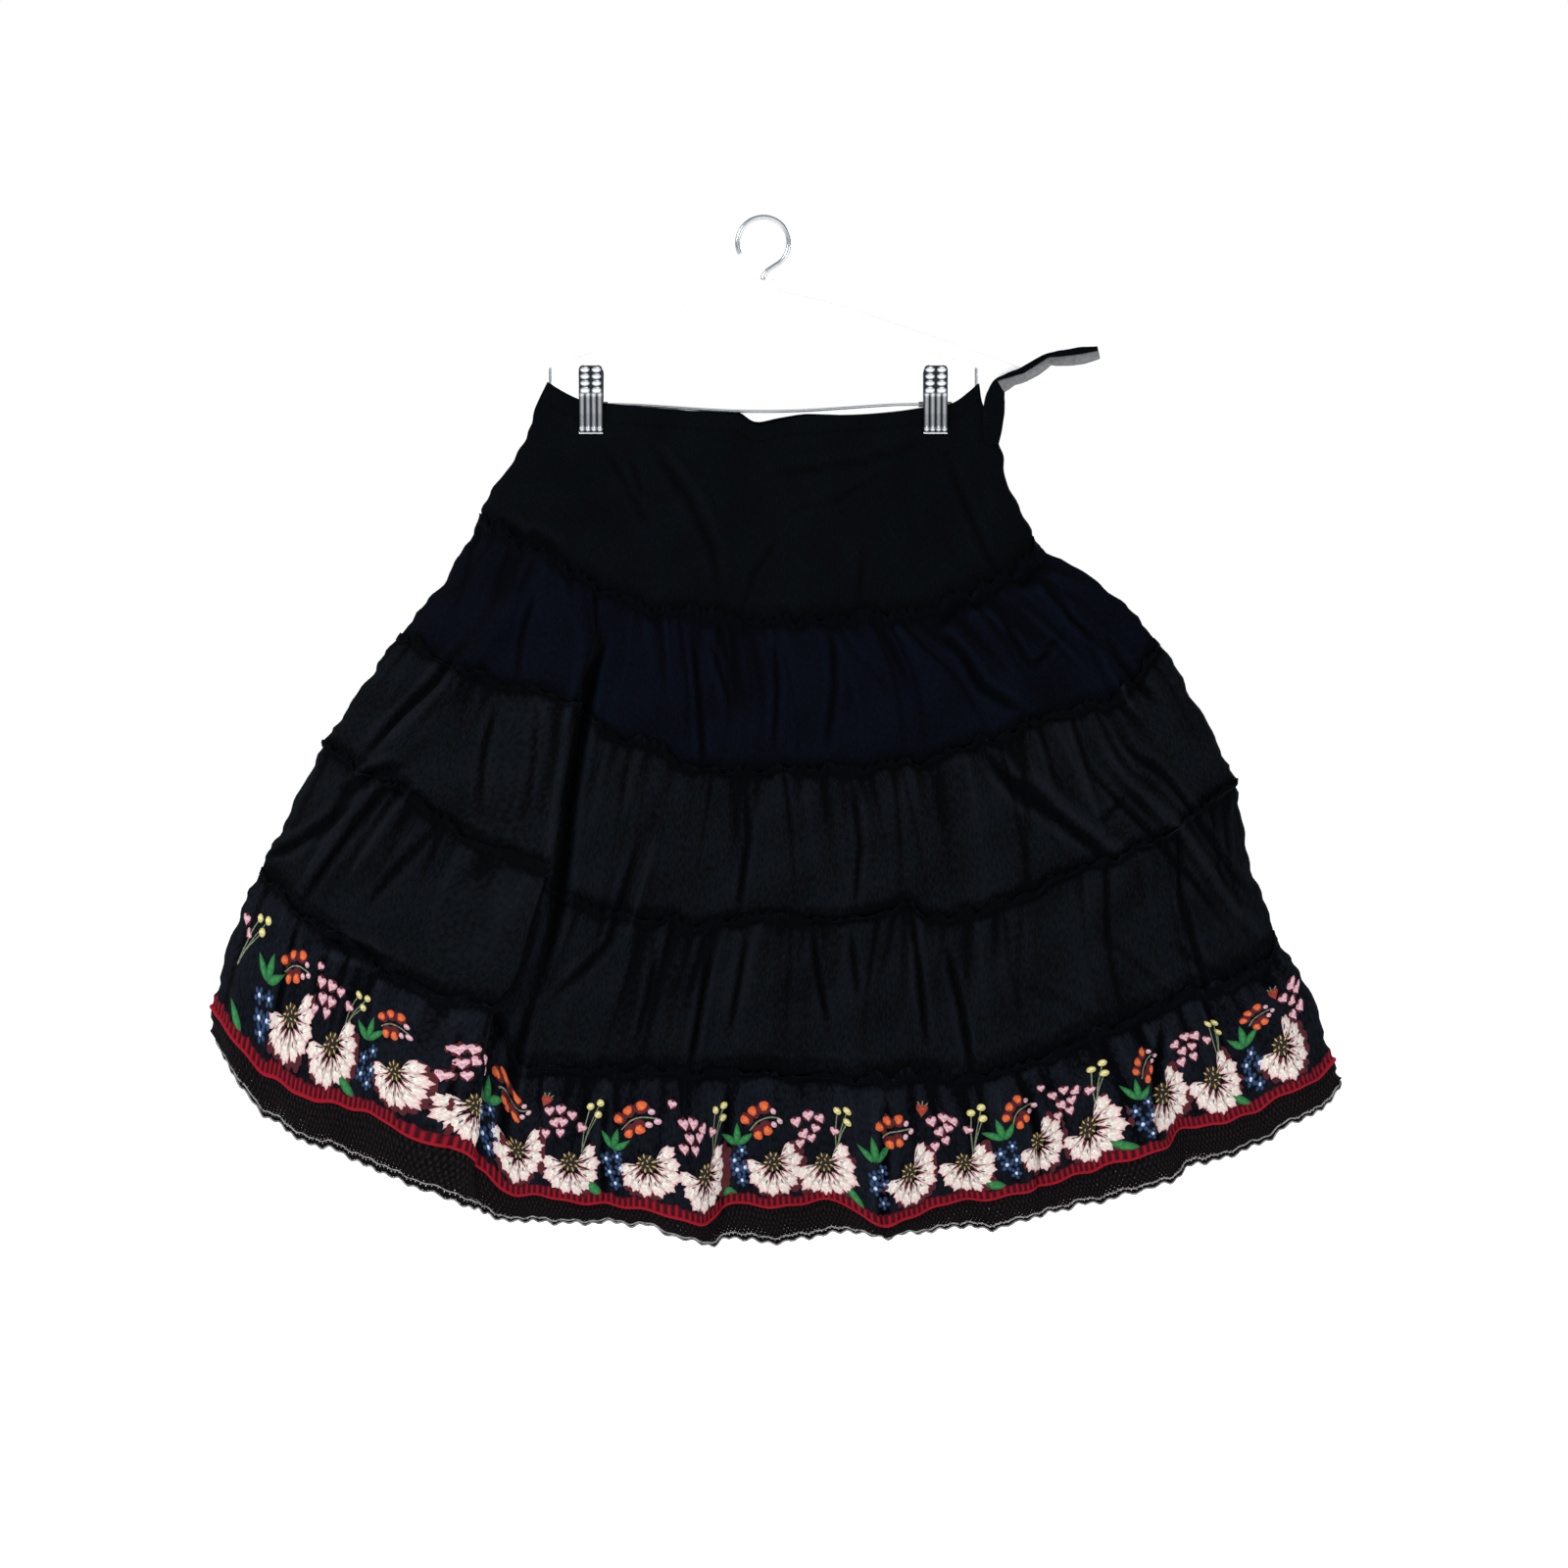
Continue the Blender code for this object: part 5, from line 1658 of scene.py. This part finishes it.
# %% Hanger
BAR_SAG, BAR_STRAIGHT_FROM, BAR_END_X, BAR_END_RADIUS = 5.5, 118.0, 166.0, 7.0
ARM = ((0, 86), (30, 83), (70, 72), (120, 55), (166, 39), (203, 26))
ARM_HEIGHT, ARM_THICK, ARM_EDGE = 12.0, 5.0, 1.2
NECK_HALF, NECK_TOP = 9.0, 101.0
HOOK_WIRE, HOOK_RADIUS, HOOK_TURN = 1.9, 20.0, (-62, 205)
PLAY = 0.3


def arm_middle(x):
    return float(np.interp(x, *zip(*ARM)))


def add_curve(name, dimensions, points, cyclic=False):
    """A curve object through a few points, in metres."""
    curve = bpy.data.curves.new(name, "CURVE")
    curve.dimensions = dimensions
    spline = curve.splines.new("POLY")
    spline.points.add(len(points) - 1)
    for point, place in zip(spline.points, points):
        point.co = (*place, 1)
    spline.use_cyclic_u = cyclic
    piece = bpy.data.objects.new(name, curve)
    bpy.context.scene.collection.objects.link(piece)
    return piece, curve


def finish_curve(piece, node, finish, slot):
    """Makes a curve a mesh, with its place in the mesh, and hands it over."""
    select_only(piece)
    bpy.ops.object.convert(target="MESH")
    bpy.ops.object.transform_apply(location=True, rotation=True, scale=True)
    piece.data.materials.clear()
    piece.data.materials.append(finish)
    return hand_over(piece, slot, node, smooth_to=50)


def round_wire(name, node, points, radius):
    piece, curve = add_curve(name, "3D", metres(points))
    curve.bevel_depth = radius * MM
    curve.bevel_resolution = 5
    curve.use_fill_caps = True
    return finish_curve(piece, node, chrome, "chrome")


half = []
for x in np.linspace(0, BAR_STRAIGHT_FROM, 17):
    half.append((x, BAR_Y, BAR_Z - BAR_SAG * (1 - (x / BAR_STRAIGHT_FROM) ** 2) ** 2))
for angle in np.linspace(0, math.pi / 2, 9):
    bend_x = BAR_END_X - BAR_END_RADIUS * (1 - math.sin(angle))
    half.append((bend_x, BAR_Y, BAR_Z + BAR_END_RADIUS * (1 - math.cos(angle))))
half.append((BAR_END_X, BAR_Y, arm_middle(BAR_END_X + 1) - ARM_HEIGHT / 2 - PLAY))
other_half = [(-x, y, z) for x, y, z in reversed(half[1:])]
round_wire("hanger_bar_wire", "hanger_bar", other_half + half, BAR_RADIUS)

centre_z = HOOK_INSIDE_TOP + HOOK_WIRE - HOOK_RADIUS
hook_line = [(0, BAR_Y, NECK_TOP + PLAY), (0, BAR_Y, NECK_TOP + 3), (3.5, BAR_Y, centre_z - HOOK_RADIUS - 1.5)]
for angle in np.radians(np.linspace(*HOOK_TURN, 49)):
    hook_line.append((HOOK_RADIUS * math.cos(angle), BAR_Y, centre_z + HOOK_RADIUS * math.sin(angle)))
round_wire("hanger_hook_wire", "hanger_hook", hook_line, HOOK_WIRE)

tip_x, tip_z = ARM[-1]
run = np.linspace(0, tip_x, 24)
rounds = np.linspace(-math.pi / 2, math.pi / 2, 13)
outline = [(x, arm_middle(x) - ARM_HEIGHT / 2) for x in run[:-1]]
outline += [(tip_x + math.cos(a) * ARM_HEIGHT / 2, tip_z + math.sin(a) * ARM_HEIGHT / 2) for a in rounds]
outline += [(x, arm_middle(x) + ARM_HEIGHT / 2) for x in run[-2:2:-1]]
outline += [(NECK_HALF + 4, arm_middle(0) + ARM_HEIGHT / 2), (NECK_HALF, NECK_TOP)]
outline += [(-x, z) for x, z in reversed(outline) if x > 0]
flat_points = [(x * MM, (z - HOOK_INSIDE_TOP) * MM, 0) for x, z in outline]
arms, curve = add_curve("hanger_arms_body", "2D", flat_points, cyclic=True)
curve.fill_mode = "BOTH"
curve.extrude = (ARM_THICK / 2 - ARM_EDGE) * MM
curve.bevel_depth = ARM_EDGE * MM
curve.bevel_resolution = 3
curve.offset = -ARM_EDGE * MM
arms.rotation_euler = (math.pi / 2, 0, 0)
finish_curve(arms, "hanger_arms", plastic, "white_plastic")
print("hanger made")

# %% [markdown]
# ## What each cloth was cut to
# The gathered strips were a third to a half wider than they hang.

print("cloth pieces: six on each side, and the tie")

# %% [markdown]
# The floor is lit from within by a little emission, so that it looks white under the dim lights. It isn't
# counted as a lamp, so it doesn't light the cloth from below.

# %% Finish of the floor
FLOOR_GREY, FLOOR_LIGHT = (0.9, 0.9, 0.9, 1), 0.80
pale = Finish("lit white floor", Base_Color=FLOOR_GREY, Roughness=0.9, Specular_IOR_Level=0.0)
pale.feed("Emission Color", WHITE)
pale.feed("Emission Strength", FLOOR_LIGHT)
pale.material.cycles.emission_sampling = "NONE"
floor.data.materials.append(pale.material)
print("floor finish:", pale.material.name)
